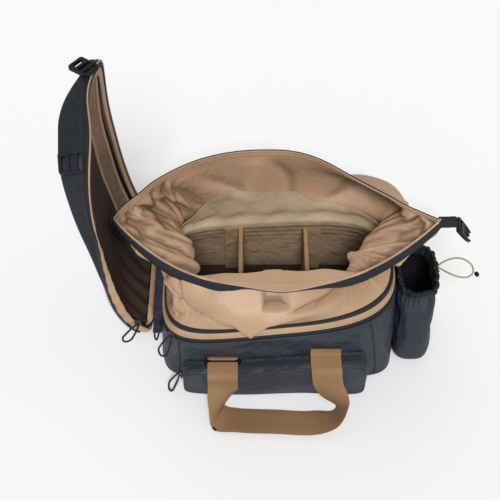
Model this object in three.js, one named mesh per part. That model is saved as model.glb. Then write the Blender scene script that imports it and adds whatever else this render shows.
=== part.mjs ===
// A bicycle trunk bag standing open on its base. The lid is swung up on the left, the
// roll-top collar is unrolled, and a bottle pocket sits on the right end.
// Millimetres, +Z up, +X along the bag, the front pocket faces -Y.
// The origin is the middle of the flat base.
import * as THREE from 'three';

// Driving sizes
const CLOTH = 1.6;            // coated cloth of the collar and trims
const SHELL = 2.5;            // lined outer cloth of the bag and the lid
const PAD = 7;                // foam lining of the main compartment
const SEAM = 0.3;             // space kept between two pieces that are sewn together
const HANDLE_WIDTH = 43;
const WEBBING = 2;
const AROUND = 56;            // points round a wall of the bag

// The wall of the bag, from the base to the mouth of the collar. Each row is one level: its height, its
// reach to the left, right, front and back, how square its two ends and its four quarters are, how much
// higher the right end is than the left, how far the front runs back towards the right, how far the middle
// of the front edge drops, and how far the middle of the back edge rises.
const COLUMNS = [
  'name', 'z', 'left', 'right', 'front', 'back', 'endL', 'endR', 'backL', 'backR', 'frontL', 'frontR',
  'rise', 'skew', 'drop', 'hump',
];
const LEVELS = [
  ['base',      0,   161, 161, 101, 99,  8,   8,   8,   8,    8,   8,   0,  0,  0,  0],
  ['base_edge', 9,   168, 168, 109, 106, 8,   8,   8,   8,    8,   8,   0,  0,  0,  0],
  ['belly',     60,  169, 169, 112, 108, 6,   5.2, 6,   5.2,  6,   5.2, 4,  4,  0,  0],
  ['rim',       118, 166, 167, 114, 105, 5,   3.4, 5,   3.6,  5,   3.2, 26, 9,  0,  0],
  ['zip',       126, 164, 165, 112, 104, 5,   3.3, 5,   3.5,  5,   3.1, 26, 9,  0,  0],
  ['facing',    135, 161, 163, 109, 103, 4.8, 3.2, 4.8, 3.4,  4.8, 3.0, 27, 9,  0,  0],
  ['foot',      143, 160, 162, 108, 103, 4.4, 3.1, 4.4, 3.3,  4.4, 2.9, 27, 9,  0,  0],
  ['bulge',     168, 168, 174, 112, 110, 3.6, 3.0, 3.2, 3.4,  3.2, 2.6, 22, 8,  6,  0],
  ['slope',     196, 190, 190, 103, 114, 3.0, 2.8, 2.4, 3.2,  2.4, 2.0, 12, 4,  16, 3],
  ['hem',       220, 212, 209, 94,  116, 2.6, 2.2, 1.5, 1.05, 1.5, 1.3, 2,  0,  18, 7],
  ['mouth',     240, 226, 221, 93,  117, 2.5, 2.1, 1.2, 0.70, 1.2, 1.1, -4, -2, 40, 12],
].map((row) => Object.fromEntries(row.map((value, i) => [COLUMNS[i], value])));
const LEVEL = Object.fromEntries(LEVELS.map((row, index) => [row.name, index]));

// Dents and folds of the collar. around is the place on the way round, anticlockwise from
// the right end; up is the share of the collar's height; slant is the angle from upright.
const COLLAR_ROUND = 1040;
const COLLAR_TALL = 118;
const FOLDS = [
  { name: 'front_dent',    around: 0.748, up: 0.75, slant: 90,  reach: 85, width: 24, depth: -34 },
  { name: 'front_lip',     around: 0.755, up: 1.00, slant: 90,  reach: 44, width: 16, depth: 9 },
  { name: 'front_tuck',    around: 0.715, up: 0.12, slant: 72,  reach: 60, width: 15, depth: 8 },
  { name: 'left_valley',   around: 0.655, up: 0.36, slant: 66,  reach: 50, width: 15, depth: -8 },
  { name: 'left_ridge',    around: 0.640, up: 0.62, slant: 70,  reach: 46, width: 15, depth: 6 },
  { name: 'right_crease',  around: 0.850, up: 0.48, slant: -76, reach: 60, width: 14, depth: -8 },
  { name: 'right_roll',    around: 0.860, up: 0.20, slant: -80, reach: 70, width: 15, depth: 6 },
  { name: 'left_inner',    around: 0.515, up: 0.28, slant: 84,  reach: 84, width: 30, depth: -46 },
  { name: 'right_inner',   around: 0.918, up: 0.30, slant: 98,  reach: 92, width: 32, depth: -56 },
  { name: 'right_end',     around: 0.000, up: 0.24, slant: 90,  reach: 64, width: 28, depth: -30 },
  { name: 'back_rim',      around: 0.125, up: 1.00, slant: 90,  reach: 75, width: 60, depth: -11 },
  { name: 'left_corner',   around: 0.465, up: 0.60, slant: -24, reach: 45, width: 18, depth: -8 },
  { name: 'right_corner',  around: 0.035, up: 0.60, slant: 24,  reach: 42, width: 18, depth: -8 },
  { name: 'back_left',     around: 0.360, up: 0.45, slant: 40,  reach: 46, width: 18, depth: -7 },
  { name: 'back_right',    around: 0.150, up: 0.35, slant: -34, reach: 46, width: 18, depth: 6 },
  { name: 'back_bulge',    around: 0.105, up: 0.42, slant: 90,  reach: 46, width: 30, depth: 18 },
  { name: 'right_dent',    around: 0.890, up: 0.25, slant: 90,  reach: 40, width: 26, depth: -14 },
];

// The lid stands on its hinge at the left end. Its rim follows a curve from the hinge to the tip, and
// its depth grows from the hinge to the tip and shrinks towards the back corner.
const LID_CURVE = [
  { x: -175, z: 102 }, { x: -197, z: 144 }, { x: -209, z: 178 }, { x: -219, z: 235 },
  { x: -225, z: 300 }, { x: -228, z: 352 }, { x: -227, z: 400 }, { x: -223, z: 452 },
];
const LID = {
  halfWidth: 107, square: 7, depthAtHinge: 11, depthAtTip: 36, backDepth: 0.36, crown: 11, bow: 13, bowAt: 27,
};
const LID_WALL = [
  { name: 'panel_middle', inset: 94, depth: 1.0,  crown: 1 },
  { name: 'panel_inner',  inset: 48, depth: 1.0,  crown: 1 },
  { name: 'panel_outer',  inset: 12, depth: 1.0,  crown: 1 },
  { name: 'wall',         inset: 0,  depth: 0.72, crown: 0 },
  { name: 'rim',          inset: 1,  depth: 0,    crown: 0 },
];

// The front pocket is a tray sewn to the front wall.
const POCKET = {
  middleX: -5, halfLength: 132, bottom: 2, top: 66, depth: 28, square: 9, wall: 2.5, rise: 22, around: 32,
};
const POCKET_WALL = [
  { name: 'back_edge', inset: 0,  depth: 0,    bow: 0 },
  { name: 'gusset',    inset: 0,  depth: 0.55, bow: 0 },
  { name: 'shoulder',  inset: 1.5, depth: 0.92, bow: 0 },
  { name: 'front',     inset: 7,  depth: 1.0,  bow: 0.6 },
  { name: 'middle',    inset: 24, depth: 1.0,  bow: 2.2 },
];

// The bottle pocket on the right end, gathered by a cord in its hem.
const BOTTLE = { wall: 2, gathers: 12, square: 3.2, around: 48 };
const BOTTLE_LEVELS = [
  { name: 'base',    z: 4,   left: 172,   right: 222, front: -72, back: 40, gather: 0 },
  { name: 'heel',    z: 13,  left: 169.4, right: 229, front: -83, back: 51, gather: 0 },
  { name: 'middle',  z: 66,  left: 169.6, right: 227, front: -80, back: 50, gather: 0 },
  { name: 'upper',   z: 108, left: 170.3, right: 227, front: -70, back: 43, gather: 0.5 },
  { name: 'channel', z: 128, left: 172,   right: 225, front: -54, back: 30, gather: 1.8 },
  { name: 'mouth',   z: 138, left: 171,   right: 229, front: -57, back: 33, gather: 2.4 },
];

// The handle, a webbing loop from the pocket's top to the ground in front of the bag.
// Each row is a place on its middle line and the direction of its width.
const HANDLE_ROUTE = [
  { name: 'left_seam',    x: -79, y: -117,   z: 67,   wx: 1,     wy: 0,    wz: 0 },
  { name: 'left_top',     x: -79, y: -130,   z: 67,   wx: 1,     wy: 0,    wz: 0 },
  { name: 'left_edge',    x: -79, y: -143,   z: 63,   wx: 1,     wy: 0,    wz: 0 },
  { name: 'left_front',   x: -79, y: -148,   z: 40,   wx: 1,     wy: 0,    wz: 0 },
  { name: 'left_fall',    x: -81.5, y: -161.5, z: 24, wx: 0.8,   wy: 0.58, wz: 0.16 },
  { name: 'left_fold',    x: -84.7, y: -176.4, z: 6.5, wx: 0.34, wy: 0.94, wz: 0.02 },
  { name: 'run_left',     x: -58, y: -181.5, z: 6,    wx: 0,     wy: 0.985, wz: -0.17 },
  { name: 'run_middle',   x: -4,  y: -184,   z: 6,    wx: 0,     wy: 0.985, wz: -0.17 },
  { name: 'run_right',    x: 50,  y: -186,   z: 6.4,  wx: 0,     wy: 0.985, wz: -0.17 },
  { name: 'right_turn',   x: 82,  y: -182,   z: 13,   wx: -0.15, wy: 0.85, wz: -0.5 },
  { name: 'right_twist',  x: 91,  y: -168,   z: 20,   wx: -0.32, wy: 0.58, wz: -0.74 },
  { name: 'right_fall',   x: 81,  y: -157,   z: 31,   wx: -0.88, wy: 0.28, wz: -0.4 },
  { name: 'right_front',  x: 71,  y: -149,   z: 52,   wx: -1,    wy: 0,    wz: 0 },
  { name: 'right_edge',   x: 68,  y: -142,   z: 75,   wx: -1,    wy: 0,    wz: 0 },
  { name: 'right_top',    x: 67,  y: -128,   z: 78.5, wx: -1,    wy: 0,    wz: 0 },
  { name: 'right_seam',   x: 67,  y: -115,   z: 78.5, wx: -1,    wy: 0,    wz: 0 },
];

// The elastic cord of the bottle pocket: a loop that leaves the eyelet and comes back to it.
const CORD_DIAMETER = 2.6;
const CORD_ROUTE = [
  [230.9, 0.9, 132], [233.2, 1.8, 132.8], [237, 4, 134.4], [243, 6.6, 136.6], [251, 8.4, 138.8],
  [259, 9.2, 139.4], [267, 8.8, 138.2], [274.5, 6.8, 135.4], [280.5, 2.8, 131.4], [283.2, -2.4, 127.2],
  [281.6, -7.6, 123.6], [276, -11.2, 121.4], [268, -12, 121], [259, -10.8, 122.2], [250, -8.4, 124.6],
  [242, -5.6, 127.4], [237, -2.8, 128.6], [233.2, -0.6, 129], [230.9, 0.3, 129.4],
];

// Surfaces and solids

const up = new THREE.Vector3(0, 0, 1);
const vec = (x, y, z) => new THREE.Vector3(x, y, z);
const lerp = THREE.MathUtils.lerp;
const radians = THREE.MathUtils.degToRad;

function standard(color, roughness, metalness = 0) {
  return new THREE.MeshStandardMaterial({ color, roughness, metalness });
}

const MATERIALS = {
  navy: standard('#343c48', 0.75),
  tan: standard('#b39374', 0.6),
  khaki: standard('#7d6f5b', 0.8),
  lidLining: standard('#86704f', 0.8),
  lidInside: standard('#2c2622', 0.9),
  mesh: standard('#3a302b', 0.9),
  zip: standard('#26262a', 0.6),
  webbing: standard('#8f6b45', 0.85),
  plastic: standard('#151618', 0.45),
  metal: standard('#3d3f42', 0.35, 0.8),
  cord: standard('#9a8f80', 0.7),
};

const bag = new THREE.Group();

function add(name, geometry, material) {
  const mesh = new THREE.Mesh(geometry, material);
  mesh.name = name;
  bag.add(mesh);
  return mesh;
}

// A closed surface of rings, each joined to the next; its faces are turned outwards.
function surface(points, triangles) {
  let volume = 0;
  for (const [a, b, c] of triangles) {
    volume += points[a].dot(points[b].clone().cross(points[c]));
  }
  const faces = volume < 0 ? triangles.map(([a, b, c]) => [a, c, b]) : triangles;
  const geometry = new THREE.BufferGeometry().setFromPoints(points);
  geometry.setIndex(faces.flat());
  geometry.computeVertexNormals();
  return geometry;
}

// Rings that follow each other; the last joins the first, or both are closed by a fan.
function ringSolid(rings, fans = false) {
  const count = rings[0].length;
  const points = rings.flat();
  const triangles = [];
  const steps = fans ? rings.length - 1 : rings.length;
  for (let r = 0; r < steps; r++) {
    const next = (r + 1) % rings.length;
    for (let i = 0; i < count; i++) {
      const j = (i + 1) % count;
      const [a, b, c, d] = [r * count + i, r * count + j, next * count + j, next * count + i];
      triangles.push([a, b, c], [a, c, d]);
    }
  }
  if (fans) {
    for (const r of [0, rings.length - 1]) {
      const middle = rings[r].reduce((sum, p) => sum.add(p), vec(0, 0, 0)).divideScalar(count);
      const hub = points.push(middle) - 1;
      for (let i = 0; i < count; i++) {
        const [a, b] = [r * count + i, r * count + (i + 1) % count];
        triangles.push(r === 0 ? [hub, b, a] : [hub, a, b]);
      }
    }
  }
  return surface(points, triangles);
}

// A sheet of cloth: a grid of points on one face and a grid on the other, closed at the edges.
// A closed sheet joins its last column to its first.
function sheetSolid(face, back, closed = false) {
  const [rows, columns] = [face.length, face[0].length];
  const points = [...face.flat(), ...back.flat()];
  const at = (side, r, i) => side * rows * columns + r * columns + i % columns;
  const triangles = [];
  const quad = (a, b, c, d) => triangles.push([a, b, c], [a, c, d]);
  const last = closed ? columns : columns - 1;
  for (let i = 0; i < last; i++) {
    for (let r = 0; r < rows - 1; r++) {
      quad(at(0, r, i), at(0, r, i + 1), at(0, r + 1, i + 1), at(0, r + 1, i));
      const [a, b, c, d] = [at(1, r, i), at(1, r, i + 1), at(1, r + 1, i + 1), at(1, r + 1, i)];
      triangles.push([a, c, b], [a, d, c]);
    }
    quad(at(0, 0, i + 1), at(0, 0, i), at(1, 0, i), at(1, 0, i + 1));
    quad(at(0, rows - 1, i), at(0, rows - 1, i + 1), at(1, rows - 1, i + 1), at(1, rows - 1, i));
  }
  for (let r = 0; r < rows - 1 && !closed; r++) {
    quad(at(0, r, 0), at(0, r + 1, 0), at(1, r + 1, 0), at(1, r, 0));
    quad(at(0, r + 1, last), at(0, r, last), at(1, r, last), at(1, r + 1, last));
  }
  return surface(points, triangles);
}

// Rings that follow each other, with the first and last ring closed as a strip of quads.
function cappedSolid(rings) {
  const count = rings[0].length;
  const points = rings.flat();
  const triangles = [];
  for (let r = 0; r < rings.length - 1; r++) {
    for (let i = 0; i < count; i++) {
      const j = (i + 1) % count;
      const [a, b, c, d] = [r * count + i, r * count + j, (r + 1) * count + j, (r + 1) * count + i];
      triangles.push([a, b, c], [a, c, d]);
    }
  }
  const half = count / 2;
  for (const r of [0, rings.length - 1]) {
    for (let i = 0; i < half - 1; i++) {
      const [a, b] = [r * count + i, r * count + i + 1];
      const [c, d] = [r * count + count - 2 - i, r * count + count - 1 - i];
      triangles.push(...(r === 0 ? [[a, c, b], [a, d, c]] : [[a, b, c], [a, c, d]]));
    }
  }
  return surface(points, triangles);
}

// A closed outline, |x/a|^p + |y/b|^q = 1 in each quarter, as evenly spaced points. Half of
// them lie between its two ends on the back, and half on the front.
function outline(shape, count, inset = 0) {
  const fine = 240;
  const half = (from) => {
    const dense = [];
    for (let i = 0; i <= fine; i++) {
      const angle = from + Math.PI * i / fine;
      const [c, s] = [Math.cos(angle), Math.sin(angle)];
      const p = c >= 0 ? shape.endR : shape.endL;
      const q = s >= 0 ? (c >= 0 ? shape.backR : shape.backL) : (c >= 0 ? shape.frontR : shape.frontL);
      const reachX = (c >= 0 ? shape.right : shape.left) - inset;
      const reachY = (s >= 0 ? shape.back : shape.front) - inset;
      dense.push(new THREE.Vector2(
        Math.sign(c) * Math.abs(c) ** (2 / p) * reachX,
        Math.sign(s) * Math.abs(s) ** (2 / q) * reachY,
      ));
    }
    const path = new THREE.Path();
    path.setFromPoints(dense);
    return path.getSpacedPoints(count / 2).slice(0, -1);
  };
  return [...half(0), ...half(Math.PI)];
}

// The same squareness for every corner of an outline.
const evenly = (reach, square) => ({
  ...reach, endL: square, endR: square, backL: square, backR: square, frontL: square, frontR: square,
});

// One level of the wall as points in space.
function levelRing(level, count, inset = 0, lift = 0) {
  return outline(level, count, inset).map((p) => {
    const reach = p.x >= 0 ? level.right : level.left;
    const along = p.x / reach;
    const front = Math.max(0, -p.y / level.front);
    const back = Math.max(0, p.y / level.back);
    return vec(
      p.x,
      p.y + level.skew * along * front,
      level.z + lift + level.rise * along / 2 - level.drop * front ** 2 + level.hump * back ** 2,
    );
  });
}

const LEVEL_CURVES = (() => {
  const rings = LEVELS.map((level) => levelRing(level, AROUND));
  return rings[0].map((_, i) => {
    const column = rings.map((ring) => ring[i]);
    return new THREE.CatmullRomCurve3(column, false, 'centripetal');
  });
})();

const lastLevel = LEVELS.length - 1;

function foldDepth(around, height) {
  const share = (height - LEVEL.foot) / (LEVEL.mouth - LEVEL.foot);
  const ramp = THREE.MathUtils.smoothstep(share, -0.05, 0.2);
  return ramp * FOLDS.reduce((sum, fold) => {
    const turn = around - fold.around - Math.round(around - fold.around);
    const [side, rise] = [turn * COLLAR_ROUND, (share - fold.up) * COLLAR_TALL];
    const [sin, cos] = [Math.sin(radians(fold.slant)), Math.cos(radians(fold.slant))];
    const along = side * sin + rise * cos;
    const across = side * cos - rise * sin;
    return sum + fold.depth * Math.exp(-((across / fold.width) ** 2) - (along / fold.reach) ** 2);
  }, 0);
}

// The folded wall at one height, counted in levels: each fold moves the cloth level, straight in or out.
function foldedRing(height) {
  const ring = LEVEL_CURVES.map((curve) => curve.getPoint(THREE.MathUtils.clamp(height / lastLevel, 0, 1)));
  return ring.map((p, i) => {
    const along = ring[(i + 1) % AROUND].clone().sub(ring[(i + AROUND - 1) % AROUND]);
    return p.clone().addScaledVector(along.cross(up).normalize(), foldDepth(i / AROUND, height));
  });
}

// The folded wall as points with outward normals.
function wallRing(height) {
  const step = 0.04;
  const [here, above, below] = [foldedRing(height), foldedRing(height + step), foldedRing(height - step)];
  return here.map((point, i) => {
    const along = here[(i + 1) % AROUND].clone().sub(here[(i + AROUND - 1) % AROUND]);
    const normal = along.cross(above[i].clone().sub(below[i])).normalize();
    return { point, normal };
  });
}

// A place on the outside of the folded wall and the way it faces, between two of the points round it.
function wallSeat(around, height) {
  const ring = wallRing(height);
  const turn = around * AROUND;
  const share = turn - Math.floor(turn);
  const [a, b] = [ring[Math.floor(turn) % AROUND], ring[Math.ceil(turn) % AROUND]];
  const normal = a.normal.clone().lerp(b.normal, share).normalize();
  return { point: a.point.clone().lerp(b.point, share).addScaledVector(normal, CLOTH / 2), normal };
}

const shifted = (ring, distance) => ring.map(
  ({ point, normal }) => point.clone().addScaledVector(normal, distance),
);

// A band of the wall between two heights, from one distance off the wall to another.
function wallBand(heights, inner, outer, from = 0, count = AROUND) {
  const pick = (ring) => {
    const part = [];
    for (let i = 0; i < count; i++) part.push(ring[(from + i) % AROUND]);
    return part;
  };
  const rings = heights.map((height) => pick(wallRing(height)));
  const outside = rings.map((ring) => shifted(ring, outer));
  const inside = rings.map((ring) => shifted(ring, inner));
  return sheetSolid(outside, inside, count === AROUND);
}

const steps = (from, to, count) => Array.from({ length: count + 1 }, (_, i) => lerp(from, to, i / count));

// A strip of webbing along a route whose rows give its middle and its width's direction. The width is
// turned square to the route unless the strip is skewed, as where it folds over at a corner.
function ribbon(route, width, thickness, count, skewed = false) {
  const places = route.map((row) => vec(row.x, row.y, row.z));
  const sides = route.map((row) => vec(row.wx, row.wy, row.wz));
  const middle = new THREE.CatmullRomCurve3(places, false, 'centripetal');
  const spread = new THREE.CatmullRomCurve3(sides, false, 'centripetal');
  const rings = steps(0, 1, count).map((t) => {
    const centre = middle.getPoint(t);
    const tangent = middle.getTangent(t);
    const given = spread.getPoint(t);
    if (!skewed) given.projectOnPlane(tangent);
    const side = given.normalize().multiplyScalar(width / 2);
    const normal = tangent.clone().cross(side).normalize().multiplyScalar(thickness / 2);
    const corner = (s, n) => centre.clone().addScaledVector(side, s).addScaledVector(normal, n);
    return [corner(-1, 1), corner(1, 1), corner(1, -1), corner(-1, -1)];
  });
  return cappedSolid(rings);
}

// A round cord along a curve.
function cordSolid(points, diameter, count, sides) {
  const shape = new THREE.Shape();
  shape.absarc(0, 0, diameter / 2, 0, 2 * Math.PI, false);
  const curve = new THREE.CatmullRomCurve3(points, false, 'centripetal');
  return new THREE.ExtrudeGeometry(shape, {
    steps: count, extrudePath: curve, curveSegments: sides, bevelEnabled: false,
  });
}

// A flat plate of a given outline, middle on its plane.
function plate(shape, thickness) {
  const options = { depth: thickness, bevelEnabled: false, curveSegments: 4 };
  const geometry = new THREE.ExtrudeGeometry(shape, options);
  return geometry.translate(0, 0, -thickness / 2);
}

function roundedRectangle(width, height, radius) {
  const [x, y] = [width / 2, height / 2];
  const shape = new THREE.Shape();
  shape.moveTo(-x + radius, -y);
  shape.lineTo(x - radius, -y);
  shape.quadraticCurveTo(x, -y, x, -y + radius);
  shape.lineTo(x, y - radius);
  shape.quadraticCurveTo(x, y, x - radius, y);
  shape.lineTo(-x + radius, y);
  shape.quadraticCurveTo(-x, y, -x, y - radius);
  shape.lineTo(-x, -y + radius);
  shape.quadraticCurveTo(-x, -y, -x + radius, -y);
  return shape;
}

function slot(width, height, x, y) {
  const hole = new THREE.Path();
  hole.moveTo(x - width / 2, y - height / 2);
  hole.lineTo(x - width / 2, y + height / 2);
  hole.lineTo(x + width / 2, y + height / 2);
  hole.lineTo(x + width / 2, y - height / 2);
  hole.closePath();
  return hole;
}

// Turns a piece so that its own X, Y and Z run along the given directions.
function place(mesh, position, alongX, alongY) {
  const x = alongX.clone().normalize();
  const z = x.clone().cross(alongY).normalize();
  const y = z.clone().cross(x);
  mesh.setRotationFromMatrix(new THREE.Matrix4().makeBasis(x, y, z));
  mesh.position.copy(position);
  return mesh;
}

// Main compartment

function bodyShell() {
  const heights = [LEVEL.base, LEVEL.base_edge, LEVEL.belly, LEVEL.rim];
  const outer = heights.map((height) => foldedRing(height));
  const inner = heights.slice(1).map((height) => wallRing(height).map(
    ({ point, normal }) => point.clone().addScaledVector(normal.setZ(0).normalize(), -SHELL),
  ));
  const floor = levelRing(LEVELS[LEVEL.base], AROUND, 3, SHELL);
  add('body_shell', ringSolid([...outer, ...inner.reverse(), floor], true), MATERIALS.navy);
}

const LINING_AROUND = 32;

function paddedLining() {
  const gap = SHELL + 1;
  const sides = [['base_edge', 1], ['belly', 0], ['rim', -5]];
  const ring = (name, inset, lift) => levelRing(LEVELS[LEVEL[name]], LINING_AROUND, inset, lift);
  const outer = [ring('base', gap + 3, SHELL + 0.4), ...sides.map(([name, lift]) => ring(name, gap, lift))];
  const inner = [...sides.map(([name, lift]) => ring(name, gap + PAD, lift)).reverse()];
  const floor = ring('base', gap + PAD + 2, SHELL + 0.4 + PAD);
  add('padded_lining', ringSolid([...outer, ...inner, floor], true), MATERIALS.khaki);
}

const FLOOR_TOP = SHELL + 0.4 + PAD;
const DIVIDER = { thickness: 8, front: -91, back: 92, top: 106, tab: 21, tabThickness: 2.5, binding: 9.5 };
const DIVIDERS = [
  { name: 'divider_left', x: -54, tabSide: -1 },
  { name: 'divider_right', x: 44, tabSide: 1 },
];

// An upright padded panel with a hook-and-loop tab bent along the back wall.
function dividers() {
  for (const { name, x, tabSide } of DIVIDERS) {
    const half = DIVIDER.thickness / 2;
    const shape = new THREE.Shape();
    shape.moveTo(-half * tabSide, DIVIDER.front);
    shape.lineTo(half * tabSide, DIVIDER.front);
    shape.lineTo(half * tabSide, DIVIDER.back - DIVIDER.tabThickness);
    shape.lineTo((half + DIVIDER.tab) * tabSide, DIVIDER.back - DIVIDER.tabThickness);
    shape.lineTo((half + DIVIDER.tab) * tabSide, DIVIDER.back);
    shape.lineTo(-half * tabSide, DIVIDER.back);
    shape.closePath();
    const height = DIVIDER.top - FLOOR_TOP - SEAM;
    const panel = new THREE.ExtrudeGeometry(shape, { depth: height, bevelEnabled: false });
    add(name, panel, MATERIALS.khaki).position.set(x, 0, FLOOR_TOP + SEAM);

    const edge = new THREE.Shape();
    edge.absarc(0, 0, DIVIDER.binding / 2, 0, Math.PI, false);
    edge.closePath();
    const length = DIVIDER.back - DIVIDER.front - 4;
    const binding = new THREE.ExtrudeGeometry(edge, { depth: length, bevelEnabled: false, curveSegments: 6 });
    const mesh = add(`${name}_binding`, binding, MATERIALS.tan);
    place(mesh, vec(x, DIVIDER.back - 2, DIVIDER.top + SEAM), vec(1, 0, 0), up);
  }
}

// Rim, zips and collar

const GAP = 0.02;             // space between two bands of the wall, in levels
const HINGE_FROM = 24;        // the zip of the rim stops at the hinge on the left end
const HINGE_TO = 32;
const COLLAR_ROWS = 7;

function rimAndCollar() {
  const half = CLOTH / 2;
  const between = (from, to, rows) => steps(from + GAP, to - GAP, rows);
  const collar = between(LEVEL.foot, LEVEL.mouth, COLLAR_ROWS);
  add('rim_facing', wallBand(between(LEVEL.zip, LEVEL.facing, 1), -half, half), MATERIALS.tan);
  add('collar_zip', wallBand(between(LEVEL.facing, LEVEL.foot, 1), -half, half), MATERIALS.zip);
  add('roll_collar', wallBand(collar, -half, half), MATERIALS.tan);
  const hem = wallBand(collar.slice(-3), half + SEAM, half + SEAM + 1.2, AROUND / 2, AROUND / 2 + 1);
  add('hem_band', hem, MATERIALS.navy);

  const lined = [LEVEL.zip, LEVEL.facing, ...collar.slice(0, 2)];
  add('lining_band', wallBand(lined, -half - 0.5 - 1.2, -half - 0.5), MATERIALS.khaki);

  const zipHeights = steps(LEVEL.rim + 0.05, LEVEL.zip - GAP, 1);
  const zipCount = AROUND - (HINGE_TO - HINGE_FROM) + 1;
  add('rim_zip', wallBand(zipHeights, -half - 1, half - 1, HINGE_TO, zipCount), MATERIALS.zip);
}

// Lid

const LID_SPINE = new THREE.CatmullRomCurve3(LID_CURVE.map(({ x, z }) => vec(x, 0, z)), false, 'centripetal');
const LID_LENGTH = LID_SPINE.getLength();

// A place on the lid: s from the hinge to the tip, y across, and depth away from the bag.
function lidPoint(s, y, depth) {
  const share = THREE.MathUtils.clamp(s / LID_LENGTH, 0, 1);
  const along = LID_SPINE.getTangentAt(share);
  const point = LID_SPINE.getPointAt(share).addScaledVector(along, s - share * LID_LENGTH);
  const bow = LID.bow * share ** 1.5 * Math.exp(-(((y - LID.bowAt) / 60) ** 2));
  return vec(point.x - bow - depth * along.z, y, point.z + depth * along.x);
}

function lidDepth(s, y) {
  const share = THREE.MathUtils.clamp(s / LID_LENGTH, 0, 1);
  const back = THREE.MathUtils.smoothstep(y, -40, 70) * share ** 2;
  return lerp(LID.depthAtHinge, LID.depthAtTip, share ** 3) * lerp(1, LID.backDepth, back);
}

// How far the lid's outline reaches to each side, at a place along it.
function lidEdge(s, inset) {
  const along = Math.abs(2 * s / LID_LENGTH - 1);
  return (LID.halfWidth - inset) * (1 - along ** LID.square) ** (1 / LID.square);
}

// How far the soft panel and the pockets bulge away from the bag, from 0 at the rim to 1.
function lidBulge(s, y) {
  const lengthwise = Math.max(0, 1 - (2 * s / LID_LENGTH - 1) ** 2);
  return lengthwise * Math.max(0, 1 - (y / LID.halfWidth) ** 2);
}

const lidOutline = (inset, count) => outline(evenly({
  left: LID_LENGTH / 2, right: LID_LENGTH / 2, front: LID.halfWidth, back: LID.halfWidth,
}, LID.square), count, inset).map((p) => ({ s: p.x + LID_LENGTH / 2, y: p.y }));

const LID_AROUND = 40;
const lidRing = (inset, depthAt) => lidOutline(inset, LID_AROUND).map(
  ({ s, y }) => lidPoint(s, y, depthAt(s, y)),
);

// A closed ring of cloth that follows the lid's outline.
function lidBand(rows, from = 0, count = LID_AROUND) {
  const pick = (ring) => Array.from({ length: count }, (_, i) => ring[(from + i) % LID_AROUND]);
  const rings = rows.map(({ inset, depth }) => pick(lidRing(inset, () => depth)));
  if (count === LID_AROUND) return ringSolid(rings);
  return cappedSolid(rings[0].map((_, i) => rings.map((ring) => ring[i])));
}

function lidShell() {
  const depthAt = (row, less) => (s, y) => (
    row.depth * lidDepth(s, y) + row.crown * LID.crown * lidBulge(s, y) - less
  );
  const outer = LID_WALL.map((row) => lidRing(row.inset, depthAt(row, 0)));
  const inner = LID_WALL.map((row) => {
    const less = row.depth > 0.8 ? SHELL : 0;
    return lidRing(row.inset + SHELL, depthAt(row, less));
  });
  add('lid_shell', ringSolid([...outer, ...inner.reverse()], true), MATERIALS.navy);

  const zipFrom = LID_AROUND - 16;
  add('lid_zip', lidBand([
    { inset: 0.4, depth: -SEAM }, { inset: 2, depth: -SEAM },
    { inset: 2, depth: -7 }, { inset: 0.4, depth: -7 },
  ], zipFrom, 33), MATERIALS.zip);
}

const LID_TRIM = { inset: 4, width: 11, depth: 1.2, thickness: 1.6 };

function lidInside() {
  const { inset, width, depth, thickness } = LID_TRIM;
  add('lid_trim', lidBand([
    { inset, depth }, { inset: inset + width, depth }, { inset: inset + width, depth: depth + thickness },
    { inset, depth: depth + thickness },
  ]), MATERIALS.tan);

  const liningDepth = (less) => (s, y) => lidDepth(s, y) + LID.crown * lidBulge(s, y) - SHELL - 3.2 - less;
  const liningInsets = [94, 48, 13];
  const face = liningInsets.map((value) => lidRing(value, liningDepth(0)));
  const back = liningInsets.map((value) => lidRing(value, liningDepth(-CLOTH)));
  add('lid_lining', ringSolid([...face, ...back.reverse()], true), MATERIALS.lidInside);
}

// Inside the lid a mesh pocket covers the front, and a flat pocket lies beside it; each has a tan hem.
const LID_POCKET = { from: 16, to: LID_LENGTH - 16, depth: 3.2, sag: 8, inset: 11 };
const LID_PANELS = [
  { name: 'lid_mesh',        to: 36,  columns: 3, low: 0,   thickness: 1.2, material: 'mesh' },
  { name: 'lid_mesh_hem',    to: 42.5, columns: 1, low: -0.4, thickness: 1.7, material: 'tan' },
  { name: 'lid_pocket',      to: 76,  columns: 2, low: 0.2, thickness: 1.2, material: 'lidLining' },
  { name: 'lid_pocket_hem',  to: 82.5, columns: 1, low: -0.5, thickness: 1.8, material: 'tan' },
];

function lidPockets() {
  const { from, to, depth, sag, inset } = LID_POCKET;
  let before = (s) => -lidEdge(s, inset);
  for (const panel of LID_PANELS) {
    const start = before;
    const grid = (offset) => steps(from, to, 10).map((s) => steps(start(s), panel.to, panel.columns).map(
      (y) => lidPoint(s, y, depth + panel.low + offset + sag * lidBulge(s, y)),
    ));
    add(panel.name, sheetSolid(grid(0), grid(panel.thickness)), MATERIALS[panel.material]);
    before = () => panel.to + SEAM;
  }
}

// The cloth hinge joins the left end of the rim to the lid.
function lidHinge() {
  const section = [
    { x: -162.6, z: 111.4 }, { x: -165.2, z: 107.6 }, { x: -169.6, z: 106.6 }, { x: -176.8, z: 107.8 },
  ];
  const rows = steps(-60, 60, 4);
  const grid = (offset) => rows.map((y) => section.map((p, i) => {
    const a = section[Math.max(0, i - 1)];
    const b = section[Math.min(section.length - 1, i + 1)];
    const normal = new THREE.Vector2(-(b.z - a.z), b.x - a.x).normalize();
    return vec(p.x + normal.x * offset, y, p.z + normal.y * offset);
  }));
  add('lid_hinge', sheetSolid(grid(-0.9), grid(0.9)), MATERIALS.navy);
}

// Front pocket

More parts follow.
